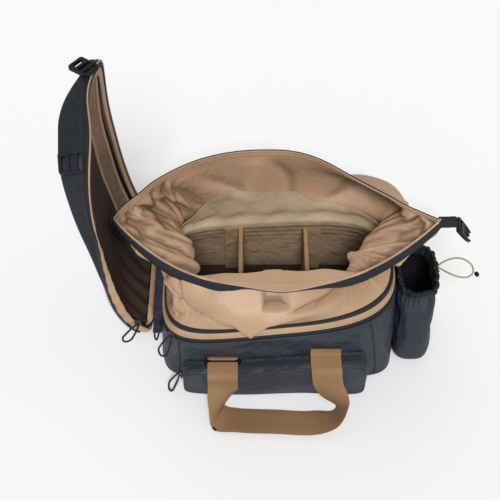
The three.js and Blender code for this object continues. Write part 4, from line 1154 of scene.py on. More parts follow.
@dataclass
class Wall:
    """The wall from the base to the mouth of the collar, as one surface.

    Each level is a closed outline. A curve through all levels runs up each column, and each fold moves the
    cloth level, straight in or out. A height is counted in levels. The pouch at the front hangs over the zip.
    An end has its place round the wall and its breadth, and each set of creases its cell, seed and height.
    """

    columns: int = 320
    left_end: tuple[float, float] = (0.49, 0.08)
    right_end: tuple[float, float] = (0.97, 0.065)
    creases: tuple[tuple[float, int, float], ...] = ((38.0, 5, 4.0), (17.0, 11, 0.8))
    folds_start: tuple[float, float] = (-0.05, 0.2)
    folds_stop: tuple[float, float] = (0.72, 0.93)
    pouch_at: float = 0.711
    pouch_half: float = 26.0
    pouch_drop: float = 14.0
    pouch_out: float = 7.0
    rings: Array = field(init=False)
    around: Array = field(init=False)

    def __post_init__(self) -> None:
        """Works out the outline of every level and the place of every column."""
        self.rings = np.stack([self.ring(name) for name in LEVELS])
        self.around = np.arange(self.columns) / self.columns

    def ring(self, name: str, inset: float = 0.0, lift: float = 0.0) -> Array:
        """One level as points in space: raised along x, and by the square of y to the front and back.

        Args:
            name: of the level.
            inset, lift: how far it is drawn in, and raised.

        Returns:
            The points.
        """
        at = LEVELS[name]
        reach = (at.left - inset, at.right - inset, at.front - inset, at.back - inset)
        powers = (at.end_left, at.end_right, at.back_left, at.back_right, at.front_left, at.front_right)
        flat = outline(*reach, powers, self.columns)
        x, y = flat[:, 0], flat[:, 1]
        along = x / np.where(x >= 0, at.right, at.left)
        forward = np.maximum(0.0, -y / at.front)
        backward = np.maximum(0.0, y / at.back)
        height = at.z + lift + at.rise * along / 2 - at.drop * forward**2 + at.hump * backward**2
        return np.stack([x, y + at.skew * along * forward, height], -1)

    def ends(self) -> Array:
        """How near each column is to the two ends of the collar, from 0 to 1, as a bell curve at each."""
        (left, left_wide), (right, right_wide) = self.left_end, self.right_end
        from_right = self.around - right - np.round(self.around - right)
        return np.exp(-(((self.around - left) / left_wide) ** 2)) + np.exp(-((from_right / right_wide) ** 2))

    def crumpled(self, share: Array) -> Array:
        """Random creases of the collar, strongest at its two ends.

        Args:
            share: places up the collar.

        Returns:
            Distances outwards, of the same shape.
        """
        size = (COLLAR_ROUND, COLLAR_TALL)
        u, v = np.broadcast_to(self.around, share.shape) * COLLAR_ROUND, share * COLLAR_TALL
        heights = (high * crumple(u, v, cell, seed, *size) for cell, seed, high in self.creases)
        return (0.3 + self.ends()) * sum(heights)

    def place(self, heights: Array, creases: Array | None = None) -> Array:
        """The folded wall.

        Args:
            heights: counted in levels.
            creases: extra distance outwards, of the same shape.

        Returns:
            The points.
        """
        ring = spline(self.rings, heights)
        share = collar_share(heights)
        ramp = smoothstep(share, *self.folds_start)
        calm = 1.0 - smoothstep(share, *self.folds_stop)
        depth = sum(fold.at(self.around, share) for fold in BROAD_FOLDS)
        depth = depth + calm * sum(fold.at(self.around, share) for fold in SMALL_FOLDS)
        if creases is not None:
            depth = depth + calm * creases
        run = round_run(ring)
        outward = unit(np.stack([run[..., 1], -run[..., 0], 0 * run[..., 0]], -1))
        aside = np.abs(self.around - self.pouch_at) * COLLAR_ROUND
        near = np.clip(1.0 - aside / self.pouch_half, 0.0, 1.0)
        low = np.exp(-(((share - 0.1) / 0.13) ** 2)) * smoothstep(share, 0.0, 0.07)
        moved = ring + outward * (ramp * depth + self.pouch_out * near * low)[..., None]
        moved[..., 2] -= self.pouch_drop * near**1.3 * low
        return moved

    def grid(self, heights: Array, crumpled: bool = False) -> tuple[Array, Array]:
        """The folded wall and the way it faces.

        Args:
            heights: counted in levels, (rows,) or (rows, columns).
            crumpled: adds the random creases.

        Returns:
            The points and the normals.
        """
        rows = heights if heights.ndim == 2 else heights[:, None]
        tall = np.broadcast_to(rows, (len(heights), self.columns))
        if crumpled:
            points = self.place(tall, self.crumpled(collar_share(tall)))
            return points, outer_normals(points)
        points = self.place(tall)
        step = 0.04
        rise = self.place(tall + step) - self.place(tall - step)
        return points, unit(np.cross(round_run(points), rise))

    def line(self, height: float) -> tuple[Array, Array]:
        """One row of the folded wall and the way it faces."""
        points, normals = self.grid(np.array([height]))
        return points[0], normals[0]

    def band(self, heights: Array, inner: float, outer: float,
             first: float = 0.0, last: float = 1.0) -> Surface:
        """A strip of the wall between two distances off it; first and last are places round it."""
        points, normals = self.grid(heights)
        return between(points, normals, inner, outer, self.part(first, last))

    def part(self, first: float, last: float) -> Array | None:
        """The columns between two places round the wall, or None for all of them."""
        return None if last - first >= 1.0 else columns_between(first, last, self.columns)


def columns_between(first: float, last: float, columns: int) -> Array:
    """The numbers of the columns from one place round a closed grid to another, 1 for once round."""
    return np.arange(round(first * columns), round(last * columns) + 1) % columns


# The depths found here are the mask of the painted shade on the collar's cloth.
# Each distance in columns and rows at which hollows are looked for, and the depth there that counts in full.
HOLLOW_STEPS = ((4, 1.5), (9, 4.5), (16, 11.0))
HOLLOW_FROM = 0.25
HOLLOW_FULL = 1.4


def hollow(points: Array, normals: Array) -> Array:
    """How far each point of a closed grid lies below the mean of its neighbours, from 0 to 1.

    Args:
        points: the grid; the columns close, the rows do not.
        normals: the way its outer side faces.

    Returns:
        The depth for the outer side, then for the inner side, one after the other.
    """
    row = np.arange(len(points))
    outer, inner = 0.0, 0.0
    for step, full in HOLLOW_STEPS:
        beside = np.roll(points, step, 1) + np.roll(points, -step, 1)
        above = points[np.minimum(row + step, row[-1])] + points[np.maximum(row - step, 0)]
        sunk = np.einsum("ijk,ijk->ij", (beside + above) / 2 - 2 * points, normals) / full
        outer = outer + np.clip(sunk - HOLLOW_FROM, 0.0, 1.0)
        inner = inner + np.clip(-sunk - HOLLOW_FROM, 0.0, 1.0)
    return np.clip(np.concatenate([outer.ravel(), inner.ravel()]) / HOLLOW_FULL, 0.0, 1.0)


def between(points: Array, normals: Array, inner: float | Array, outer: float | Array,
            part: Array | None = None) -> Surface:
    """Cloth between two distances off a grid.

    Args:
        points, normals: the grid and the way it faces.
        inner, outer: the two distances.
        part: the columns it covers; all of them, closed round, if none are given.

    Returns:
        The closed sheet.
    """
    face, back = points + normals * outer, points + normals * inner
    if part is None:
        return cloth(face, back, True)
    return cloth(face[:, part], back[:, part])


# Body

@dataclass
class Body:
    """The padded box: outer cloth, piping, lining, dividers."""

    wall: Wall
    floor_top: float = SHELL + 0.4 + PAD
    divider_front: float = -91.0
    divider_back: float = 92.0
    divider_top: float = 106.0
    divider_half: float = 4.0
    binding: float = 3.7
    seams: tuple[float, ...] = (0.105, 0.395, 0.612, 0.888)
    girth: float = 1040.0
    level_height: float = 44.0
    slack: float = 0.012
    channel: float = 10.5
    channel_top: float = 113.0
    sewn_from: tuple[float, float] = (78.0, 84.0)
    puff: float = 1.7
    tab: float = 21.0
    tab_thickness: float = 2.5

    def build(self) -> None:
        """Makes every piece of the box."""
        self.piping(self.shell())
        self.lining()
        for name, x, side in (("divider_left", -54.0, -1.0), ("divider_right", 44.0, 1.0)):
            self.divider(name, x, side)

    def soften(self, heights: Array) -> Array:
        """Slow dents and pulls of the outer cloth: two sine waves round it, and creases between base and rim.

        Args:
            heights: counted in levels, (rows,).

        Returns:
            Distances outwards.
        """
        wall = self.wall
        turn = 2 * math.pi * wall.around
        tall = heights[:, None]
        slow = np.sin(7 * turn + 1.3 * tall) + 0.8 * np.sin(13 * turn - 2.1 * tall + 1.0)
        u, v = np.broadcast_arrays(wall.around * self.girth, tall * self.level_height)
        creased = crumple(u, v, 38.0, 21, self.girth, 3.0 * self.level_height)
        inside = smoothstep(tall, 1.0, 1.5) * (1.0 - smoothstep(tall, 2.7, 3.0))
        return inside * (0.6 * slow + 1.5 * creased)

    def shell(self) -> Array:
        """The outer cloth from the base to the rim, wrinkled, and the base as rings drawn in to its middle.

        Returns:
            The cloth's points from the edge of the base to the rim.
        """
        edge_row = 7
        low_heights = np.linspace(0.0, HEIGHT["base_edge"], edge_row + 1)[:-1]
        heights = np.concatenate([low_heights, np.linspace(HEIGHT["base_edge"], HEIGHT["rim"], 44)])
        points, normals = self.wall.grid(heights)
        outward = sideways(normals)
        tall = np.broadcast_to(heights[:, None], points.shape[:2])
        loose = self.slack * smoothstep(tall, 1.0, 1.3) * (1.0 - smoothstep(tall, 2.75, 2.95))
        outer = wrinkle(points + outward * self.soften(heights)[..., None], loose, 9)
        inner = points - outward * SHELL
        inner[..., 2] = np.maximum(inner[..., 2], SHELL)
        base = points[0] * np.linspace(0.0, 1.0, 12)[:-1, None, None] * NO_RISE
        face = np.concatenate([base, outer])
        back = np.concatenate([base + UP * SHELL, inner])
        show("body_cloth", cloth(face, back, True), NAVY, ["body_shell"], 70.0)
        return outer[edge_row:]

    def piping(self, outer: Array) -> None:
        """Rolled edges round the rim and the base, and one up each corner of the outer cloth.

        Args:
            outer: the outer cloth's points.
        """
        wall = self.wall
        rows = []
        for height, radius, lift in ((HEIGHT["rim"] - 0.03, 1.9, 0.6), (HEIGHT["base_edge"], 1.5, 0.5)):
            points, normals = wall.line(height)
            rows.append(sweep(points + normals * lift, normals, round_profile(radius), True))
        normals = outer_normals(outer)
        for at in self.seams:
            column = round(at * wall.columns)
            facing = normals[:, column]
            rows.append(sweep(outer[:, column] + facing * 0.6, facing, round_profile(1.2, 8)))
        show("body_piping", join(rows), NAVY_TRIM)

    def lining(self) -> None:
        """Foam sewn in level channels, |sin|^0.6 of the height, with a flat padded floor."""
        wall = self.wall
        gap = SHELL + 1.0
        sides = [("base_edge", 1.0), ("belly", 0.0), ("rim", -5.0)]
        at = np.linspace(0.0, len(sides) - 1.0, 56)
        outer, inner = (
            np.stack([wall.ring(name, inset, lift) for name, lift in sides]) for inset in (gap, gap + PAD)
        )
        outside, inside = spline(outer, at), spline(inner, at)
        outward = sideways(inside - inner.mean((0, 1)))
        rim = LEVELS["rim"]
        tall = inside[..., 2] - rim.rise / 2 * inside[..., 0] / rim.left * (at[:, None] / at[-1])
        channel = np.abs(np.sin(math.pi * (tall - self.channel_top) / self.channel))
        puff = self.puff * (channel**0.6 - 1.0) * smoothstep(tall, *self.sewn_from)
        inside = inside - outward * puff[..., None]
        rings = inside[0] * NO_RISE * np.linspace(0.0, 1.0, 10)[:, None, None]
        under, floor = (rings + UP * height for height in (self.floor_top - PAD, self.floor_top))
        show("padded_box", cloth(outside, inside, True), PADDED, ["padded_lining"], 75.0)
        # The floor deep in the box gets the near-black copy of the lining: painted shade.
        show("padded_floor", cloth(under, floor, True), PAD_FLOOR_SHADE)

    def divider(self, name: str, x: float, side: float) -> None:
        """A padded panel across the box, its bound top edge and its tab on the back wall.

        Args:
            name: the CAD node of the panel.
            x: its middle.
            side: -1 or 1, the side the tab lies on.
        """
        half_pad = self.divider_half
        y = np.linspace(self.divider_front, self.divider_back, 60)[None, :]
        z = np.linspace(self.floor_top + SEAM, self.divider_top, 40)[:, None]
        edge = np.minimum(np.minimum(y - self.divider_front, self.divider_back - y), self.divider_top - z)
        rounded = np.sqrt(np.clip(1.0 - (1.0 - np.clip(edge / 5.0, 0.0, 1.0)) ** 2, 0.1, 1.0))
        soft = 0.25 * np.sin(y / 17.0) * np.sin(z / 13.0)
        half = half_pad * rounded + soft
        panel = cloth(mesh_of(x + half, y, z), mesh_of(x - half, y, z))
        tab_x = x + side * np.linspace(half_pad - 0.6, half_pad + self.tab, 12)[None, :]
        tab_z = np.linspace(self.floor_top + SEAM, self.divider_top, 20)[:, None]
        near_y, far_y = self.divider_back - self.tab_thickness, self.divider_back
        strip = cloth(mesh_of(tab_x, near_y, tab_z), mesh_of(tab_x, far_y, tab_z))
        piece = show(name + "_pad", join([panel, strip]), PADDED, [name])
        path = mesh_of(x, y[0, ::-1] * 0.985, self.divider_top + 0.2)
        bound = sweep(path, repeat(UP, len(path)), flat_profile(2 * self.binding, 7.0, 10))
        show(name + "_edge", bound, TAN_HEM, [name + "_binding"])


# Rim, zips and collar

# Places round the collar with the width of the webbing strip in millimetres there.
HEM_WIDTHS = (
    (0.5, 4.0), (0.55, 12.0), (0.60, 20.0), (0.67, 20.0), (0.695, 12.0), (0.71, 4.0),
    (0.785, 4.0), (0.80, 7.0), (0.84, 13.0), (0.87, 16.0), (0.95, 16.0), (1.0, 12.0),
)
# Places round the collar with the top edge of the lining there, as a share of the collar's height.
LINING_TOPS = (
    (0.0, 0.06), (0.10, 0.03), (0.19, 0.12), (0.22, 0.26),
    (0.34, 0.38), (0.365, 0.24), (0.39, 0.05), (1.0, 0.05),
)


@dataclass
class Collar:
    """The zips round the rim, the facing, the roll-top collar with its hems, and the lining inside it."""

    wall: Wall
    fine_wall: Wall
    hinge: tuple[float, float] = (0.5714, 1.4286)
    rows: int = 77
    slack: float = 0.0065
    end_slack: float = 0.055
    front_slack: float = 0.034
    front_loose: tuple[float, float] = (0.587, 0.026)
    collar_coil: float = 5.5
    rim_coil: float = 3.52
    rim_sink: float = 1.0
    zip_gap: float = 0.02

    def build(self) -> None:
        """Makes every band of the rim and the collar."""
        self.zips()
        self.collar()
        self.inside()

    def zips(self) -> None:
        """Two zips with their coils, and the tan facing between them."""
        wall = self.wall
        half = CLOTH / 2
        gap, sink = self.zip_gap, self.rim_sink
        facing = wall.band(np.linspace(HEIGHT["zip"] + gap, HEIGHT["facing"] - gap, 5), -half, half)
        show("facing_cloth", facing, TAN_TRIM, ["rim_facing"])
        collar_tape = wall.band(np.linspace(HEIGHT["facing"] + gap, HEIGHT["foot"] - gap, 5), -half, half)
        show("collar_zip_tape", collar_tape, ZIP, ["collar_zip"])
        rim_heights = np.linspace(HEIGHT["rim"] + 0.05, HEIGHT["zip"] - gap, 5)
        rim_tape = wall.band(rim_heights, -half - sink, half - sink, *self.hinge)
        show("rim_zip_tape", rim_tape, ZIP, ["rim_zip"])
        coils = []
        for height, lift, place in (
            (self.collar_coil, half, (0.0, 0.999)), (self.rim_coil, half - sink, self.hinge),
        ):
            points, normals = (rows[wall.part(*place)] for rows in wall.line(height))
            coils.append(teeth(points + normals * (lift + 0.3), normals))
        show("zip_coils", join(coils), COIL)
        points, normals = wall.line(HEIGHT["zip"] + 0.12)
        edge = sweep(points + normals * half, normals, round_profile(1.3), True)
        show("facing_edge", edge, TAN_TRIM)

    def collar(self) -> None:
        """The crumpled collar, its webbing hem on the front, its stitched edge, and a dark line at its back
        edge that is partly a painted shadow line.
        """
        wall = self.fine_wall
        heights = np.linspace(HEIGHT["foot"] + self.zip_gap, HEIGHT["mouth"] - self.zip_gap, self.rows)
        points, normals = self.wrinkled(heights)
        share = collar_share(heights)
        hem = 0.5 * smoothstep(share, 0.905, 0.92)[:, None, None]
        half = CLOTH / 2
        marks = np.tile(0.15 + 0.35 * wall.ends(), 2 * self.rows)
        collar = between(points, normals, -half - hem, half)
        # The collar's hollows carry painted shade.
        show("collar_cloth", collar, TAN, ["roll_collar"], 80.0, marks, hollow(points, normals))
        self.hem(points[-1], normals[-1])
        rows = []
        under, over = -half - 0.7, half + 0.15
        for high, lift in ((0.982, under), (0.925, under), (0.965, over), (0.915, over)):
            row = np.searchsorted(share, high)
            part = wall.part(0.0, 0.999) if lift < 0 else wall.part(0.005, 0.495)
            facing = normals[row, part] * np.sign(lift)
            rows.append(stitches(points[row, part] + normals[row, part] * lift, facing))
        show("hem_stitches", join(rows), THREAD)
        # A dark tube along the back of the mouth: partly the edge of its hem, partly a painted shadow line.
        part = wall.part(0.0, 0.5)
        edge = sweep(points[-1, part] + normals[-1, part] * 0.7, normals[-1, part], round_profile(0.9, 8))
        show("back_edge", edge, HEM)

    def wrinkled(self, heights: Array) -> tuple[Array, Array]:
        """The collar's cloth, wrinkled where it is loose: most at its two ends and at the left of its front.

        Args:
            heights: counted in levels, (rows,).

        Returns:
            The points and the way they face.
        """
        wall = self.fine_wall
        share = np.linspace(0.0, 1.0, len(heights))[:, None]
        middle, wide = self.front_loose
        left = np.exp(-(((wall.around - middle) / wide) ** 2))
        loose = self.slack + self.end_slack * wall.ends() + self.front_slack * left
        loose = loose * smoothstep(share, 0.0, 0.15) * (1.0 - smoothstep(share, 0.78, 0.88))
        moved = wrinkle(wall.grid(heights, True)[0], loose, 3)
        return moved, outer_normals(moved)

    def hem(self, rim: Array, normals: Array) -> None:
        """The webbing strip on the front rim: it hangs straight down, narrow at the middle and the left end.

        Args:
            rim: the top edge of the collar.
            normals: the way the collar faces there.
        """
        part = self.fine_wall.part(0.5, 1.0)
        around = np.linspace(0.5, 1.0, len(part))
        width = np.interp(around, *zip(*HEM_WIDTHS))
        width = np.convolve(np.pad(width, 6, "edge"), np.ones(13) / 13, "valid")
        outward = sideways(normals[part])
        share = np.linspace(0.0, 1.0, 10)[:, None, None]
        drop = share * width[None, :, None]
        thickness = 1.3
        top = rim[part] + outward * thickness - UP * 0.8
        full = np.minimum(1.0, width / 12.0)[None, :, None]
        out = 1.4 + full * (2.2 * np.sin(math.pi * share) + share)
        face = top[None] - UP * drop + outward[None] * out
        strip = cloth(face[::-1], (face - outward[None] * thickness)[::-1])
        show("hem_webbing", strip, HEM, ["hem_band"])

    def inside(self) -> None:
        """The khaki band between the padded box and the collar; its top edge is highest at the back left."""
        wall = self.wall
        top = np.interp(wall.around, *zip(*LINING_TOPS))
        share = np.linspace(0.0, 1.0, 24)[:, None]
        full = HEIGHT["mouth"] - HEIGHT["foot"]
        heights = mix(HEIGHT["rim"] - 0.16, HEIGHT["foot"] + full * top[None, :], share)
        points, normals = wall.grid(heights)
        half = CLOTH / 2
        drape = 1.2 * np.sin(2 * math.pi * wall.around * 17 + 3.0 * share) * np.sin(math.pi * share)
        tuck = 8.5 * (1.0 - smoothstep(heights, HEIGHT["rim"], HEIGHT["facing"]))
        sag = sideways(normals) * (drape - 1.2 - tuck)[..., None]
        band = between(points + sag, normals, -half - 3.4, -half - 2.2)
        show("collar_lining", band, KHAKI, ["lining_band"])


# Lid

# Places x and z on the lid's inner side from the hinge to the tip.
LID_CURVE = (
    (-175, 102), (-197, 144), (-209, 178), (-219, 235), (-225, 300), (-228, 352), (-227, 400), (-223, 452),
)
# Rows of the lid's outer cloth: inset from its outline, share of its depth, share of its crown.
LID_ROWS = ((107, 1, 1), (94, 1, 1), (48, 1, 1), (12, 1, 1), (0, 0.72, 0), (1, 0, 0))


@dataclass
class Lid:
    """The lid stands on its hinge at the left end: s runs from the hinge to the tip, y across.

    Along its outline, turned is how far the trim and its zip are turned out over the front wall, 0 to 1, and
    flap is how wide the trim is there, which narrows upwards.
    """

    half_width: float = 107.0
    square: float = 7.0
    depth_at_hinge: float = 11.0
    depth_at_tip: float = 36.0
    back_depth: float = 0.36
    crown: float = 11.0
    bow: float = 13.0
    bow_at: float = 27.0
    columns: int = 320
    line: Array = field(init=False)
    run: Array = field(init=False)
    length: float = field(init=False)
    turned: Array = field(init=False)
    flap: Array = field(init=False)

    def __post_init__(self) -> None:
        """Works out the curve from the hinge to the tip, the distance along it, and the turned-out trim."""
        self.line = evenly([(x, 0.0, z) for x, z in LID_CURVE], 800)
        self.run = lengths(self.line)
        self.length = float(self.run[-1])
        around = np.arange(self.columns) / self.columns
        self.turned = smoothstep(around, 0.555, 0.60) * (1.0 - smoothstep(around, 0.78, 0.85))
        self.flap = mix(11.5, 3.0, smoothstep(around, 0.66, 0.80))

    def point(self, s: Array, y: Array, depth: Array) -> Array:
        """A place on the lid: along its curve, bowed out round bow_at, and square to it.

        Args:
            s: the distance along the curve.
            y: the place across the lid.
            depth: the distance from its inner side, away from the bag.

        Returns:
            The points.
        """
        s, y, depth = np.broadcast_arrays(s, y, depth)
        held = np.clip(s, 0.0, self.length)
        x, z = np.interp(held, self.run, self.line[:, 0]), np.interp(held, self.run, self.line[:, 2])
        tangent = unit(np.gradient(self.line, axis=0))
        tx, tz = np.interp(held, self.run, tangent[:, 0]), np.interp(held, self.run, tangent[:, 2])
        bow = self.bow * (held / self.length) ** 1.5 * np.exp(-(((y - self.bow_at) / 60.0) ** 2))
        beyond = s - held
        return np.stack([x + beyond * tx - bow - depth * tz, y, z + beyond * tz + depth * tx], -1)

    def depth(self, s: Array, y: Array) -> Array:
        """How deep the lid is: deeper with the cube of s, and less so at the back of its tip."""
        share = np.clip(s / self.length, 0.0, 1.0)
        back = smoothstep(y, -40.0, 70.0) * share**2
        return mix(self.depth_at_hinge, self.depth_at_tip, share**3) * mix(1.0, self.back_depth, back)

    def bulge(self, s: Array, y: Array) -> Array:
        """How far soft panels bulge, from 0 at the rim to 1."""
        lengthwise = np.maximum(0.0, 1.0 - (2 * s / self.length - 1) ** 2)
        return lengthwise * np.maximum(0.0, 1.0 - (y / self.half_width) ** 2)

    def edge(self, s: Array, inset: float) -> Array:
        """How far the outline reaches to each side."""
        along = np.clip(np.abs(2 * s / self.length - 1), 0.0, 1.0)
        return (self.half_width - inset) * (1 - along**self.square) ** (1 / self.square)

    def outline(self, inset: float) -> tuple[Array, Array]:
        """The outline, from the middle of the tip by the back to the front.

        Args:
            inset: how far it is drawn in.

        Returns:
            Places s and y along it.
        """
        reach = self.length / 2 - inset
        wide = max(self.half_width - inset, 1e-4)
        flat = outline(reach, reach, wide, wide, [self.square] * 6, self.columns)
        return flat[:, 0] + self.length / 2, flat[:, 1]

    def ring(self, inset: float, share: float, add: float = 0.0, crown: float = 0.0) -> Array:
        """A ring along the outline, drawn in: share times the depth, plus add and crown times the bulge."""
        s, y = self.outline(inset)
        return self.point(s, y, share * self.depth(s, y) + add + crown * self.bulge(s, y))

    def build(self) -> None:
        """Makes every piece of the lid."""
        self.shell()
        self.zip()
        self.inside()
        self.pockets()
        self.hinge()

    def shell(self) -> None:
        """The outer cloth: a crowned panel with two sine ripples, a wall round it, and their piping."""
        faces, backs = [], []
        for inset, share, crown in evenly(LID_ROWS, 52):
            sunk = SHELL * smoothstep(share, 0.6, 0.95)
            for rows, place, less in (
                (faces, inset, 0.0), (backs, min(inset + SHELL, self.half_width), sunk),
            ):
                s, y = self.outline(place)
                ripple = 0.8 * np.sin(s / 23.0 + y / 31.0) + 0.6 * np.sin(y / 14.0 - s / 47.0)
                soft = crown * (self.crown * self.bulge(s, y) + ripple)
                rows.append(self.point(s, y, share * self.depth(s, y) + soft - less))
        # The lid's outer cloth uses the darker navy: painted shade.
        show("lid_cloth", cloth(np.stack(faces), np.stack(backs), True), LID_NAVY_SHADED, ["lid_shell"], 75.0)
        seam = self.ring(10.5, 1.0, 0.4)
        outward = np.cross(np.gradient(seam, axis=0), UP)
        show("lid_piping", sweep(seam, unit(outward), round_profile(1.6), True), NAVY_TRIM)
        rim = self.ring(0.6, 0.0, 0.3)
        towards = unit(self.ring(0.6, 0.0, -5.0) - rim)
        upper = columns_between(-0.20, 0.42, self.columns)[:-1]
        show("lid_rim_line", sweep(rim[upper], towards[upper], round_profile(1.1)), TAN_TRIM)
        part = np.arange(-62, 100) % self.columns
        shares = np.array([0.22, 0.30, 0.38])
        face, back = (np.stack([self.ring(inset, share)[part] for share in shares]) for inset in (-0.3, 0.5))
        show("lid_wall_zip", cloth(face, back), ZIP)

    def zip(self) -> None:
        """The half of the zip on the lid's rim, folded in or, with the trim, turned out, and its coil."""
        part = columns_between(-0.4, 0.4, self.columns)
        turned, flap = self.turned, self.flap
        faces, backs = [], []
        for d in np.linspace(SEAM, 7.0, 5):
            for rows, over, depth in ((faces, -2.6, -0.2), (backs, -1.2, 0.9)):
                inset = mix(0.6 + 0.9 * d, over, turned)
                rows.append(self.ring_at(inset, mix(depth, flap - 2.4 + 0.55 * d, turned))[part])
        show("lid_zip_tape", cloth(np.stack(faces), np.stack(backs)), ZIP, ["lid_zip"])
        edge = self.ring_at(mix(6.4, -3.0, turned), mix(-0.6, flap + 0.6, turned))[part]
        outward = edge - self.ring_at(mix(6.4, 4.0, turned), mix(6.0, flap + 0.6, turned))[part]
        show("lid_zip_coil", teeth(edge, unit(outward)), COIL)

    def ring_at(self, inset: Array, depth: Array) -> Array:
        """A ring whose inset, towards the lid's middle, and depth change along the outline.

        Args:
            inset, depth: at each column, in millimetres.

        Returns:
            The points.
        """
        s, y = self.outline(0.0)
        reach = self.length / 2
        inward = unit(np.stack([reach - s, -y * reach / self.half_width], -1))
        return self.point(s + inward[:, 0] * inset, y + inward[:, 1] * inset, depth)

    def inside(self) -> None:
        """The tan trim round the opening, turned out near the hinge, and the linings behind the pockets."""
        turned, flap = self.turned, self.flap
        column = np.arange(self.columns)
        pucker = turned * (0.7 * np.sin(column * 0.9) + 0.6 * np.sin(column * 0.37))
        faces, backs = [], []
        for share in np.linspace(0.0, 1.0, 12):
            roll = math.sin(math.pi * share)
            for rows, low, out in ((faces, 1.2, -2.6), (backs, 2.8, -1.0)):
                flat = self.ring(4.0 + 11.0 * share, 0.0, low - 1.4 * roll)
                over = self.ring_at(out - 1.6 * roll - pucker, -2.0 + flap * share)
                rows.append(mix(flat, over, turned[:, None]))
        show("lid_trim_band", cloth(np.stack(faces), np.stack(backs), True), TAN_TRIM, ["lid_trim"])
        part = np.arange(-130, 150) % self.columns
        shares = np.linspace(0.0, 1.0, 6)
        face, back = (
            np.stack([self.ring(inset, 0.9 * share, 3.0 * (1.0 - share))[part] for share in shares])
            for inset in (3.9, 2.9)
        )
        show("lid_wall_lining", cloth(face, back), WALL_LINING)
        # The lining behind the pockets is near black: painted shade deep inside the lid.
        insets = np.linspace(self.half_width, 13.0, 14)
        low = -SHELL - 3.2
        face, back = (
            np.stack([self.ring(inset, 1.0, add, self.crown) for inset in insets])
            for add in (low, low + CLOTH)
        )
        show("lid_inner_lining", cloth(face, back, True), LID_LINING_SHADE, ["lid_lining"])

    def pockets(self) -> None:
        """The mesh pocket, the flat pocket beside it, and the tan hem of each."""
        panels = [
            ("net_pocket", "lid_mesh", 36.0, 60, 0.0, 1.2, NET),
            ("net_hem", "lid_mesh_hem", 42.5, 6, -0.4, 1.7, TAN_HEM),
            ("flat_pocket", "lid_pocket", 76.0, 40, 0.2, 1.2, OLIVE),
            ("flat_hem", "lid_pocket_hem", 82.5, 6, -0.5, 1.8, TAN_HEM),
        ]
        s = np.linspace(16.0, self.length - 16.0, 120)[:, None]
        before = -self.edge(s, 11.0)
        rows = []
        for name, node, stop, columns, low, thickness, finish in panels:
            y = mix(before, stop, np.linspace(0.0, 1.0, columns)[None, :])
            near = np.exp(-(((s - 16.0) / 70.0) ** 2))
            pleat = near * 1.6 * np.sin(y / 4.2) * (1.0 if finish is NET else 0.25)
            slack = 1.2 * np.sin(s / 19.0 + y / 11.0) * (1.0 if columns > 10 else 0.3)
            depth = 3.2 + low + 8.0 * self.bulge(s, y) + pleat + slack * self.bulge(s, y)
            show(name, cloth(self.point(s, y, depth), self.point(s, y, depth + thickness)), finish, [node])
            if columns < 10:
                for share in (0.2, 0.8):
                    column = round(share * (columns - 1))
                    line = self.point(s, y, depth - 0.2)[:, column]
                    facing = self.point(s, y, depth - 5.0)[:, column] - line
                    rows.append(stitches(line, unit(facing)))
            before = np.full_like(s, stop + SEAM)
        show("lid_stitches", join(rows), THREAD)

    def hinge(self) -> None:
        """The cloth that joins the left end of the rim to the lid."""
        section = ((-162.6, 0, 111.4), (-165.2, 0, 107.6), (-169.6, 0, 106.6), (-176.8, 0, 107.8))
        path = evenly(section, 18)
        run = np.gradient(path, axis=0)
        normal = unit(np.stack([-run[:, 2], 0 * run[:, 0], run[:, 0]], -1))
        middle = path[None] + np.linspace(-98.0, 60.0, 40)[:, None, None] * [0.0, 1.0, 0.0]
        half = normal[None] * 0.9
        show("hinge_cloth", cloth(middle - half, middle + half), NAVY, ["lid_hinge"])


# Front pocket

# Rows of the pocket's cloth: inset from its outline, share of the way to its face, bulge.
POCKET_ROWS = ((0, 0, 0), (0, 0.55, 0), (1.5, 0.92, 0), (7, 1, 0.6), (24, 1, 2.2), (32, 1, 2.6))


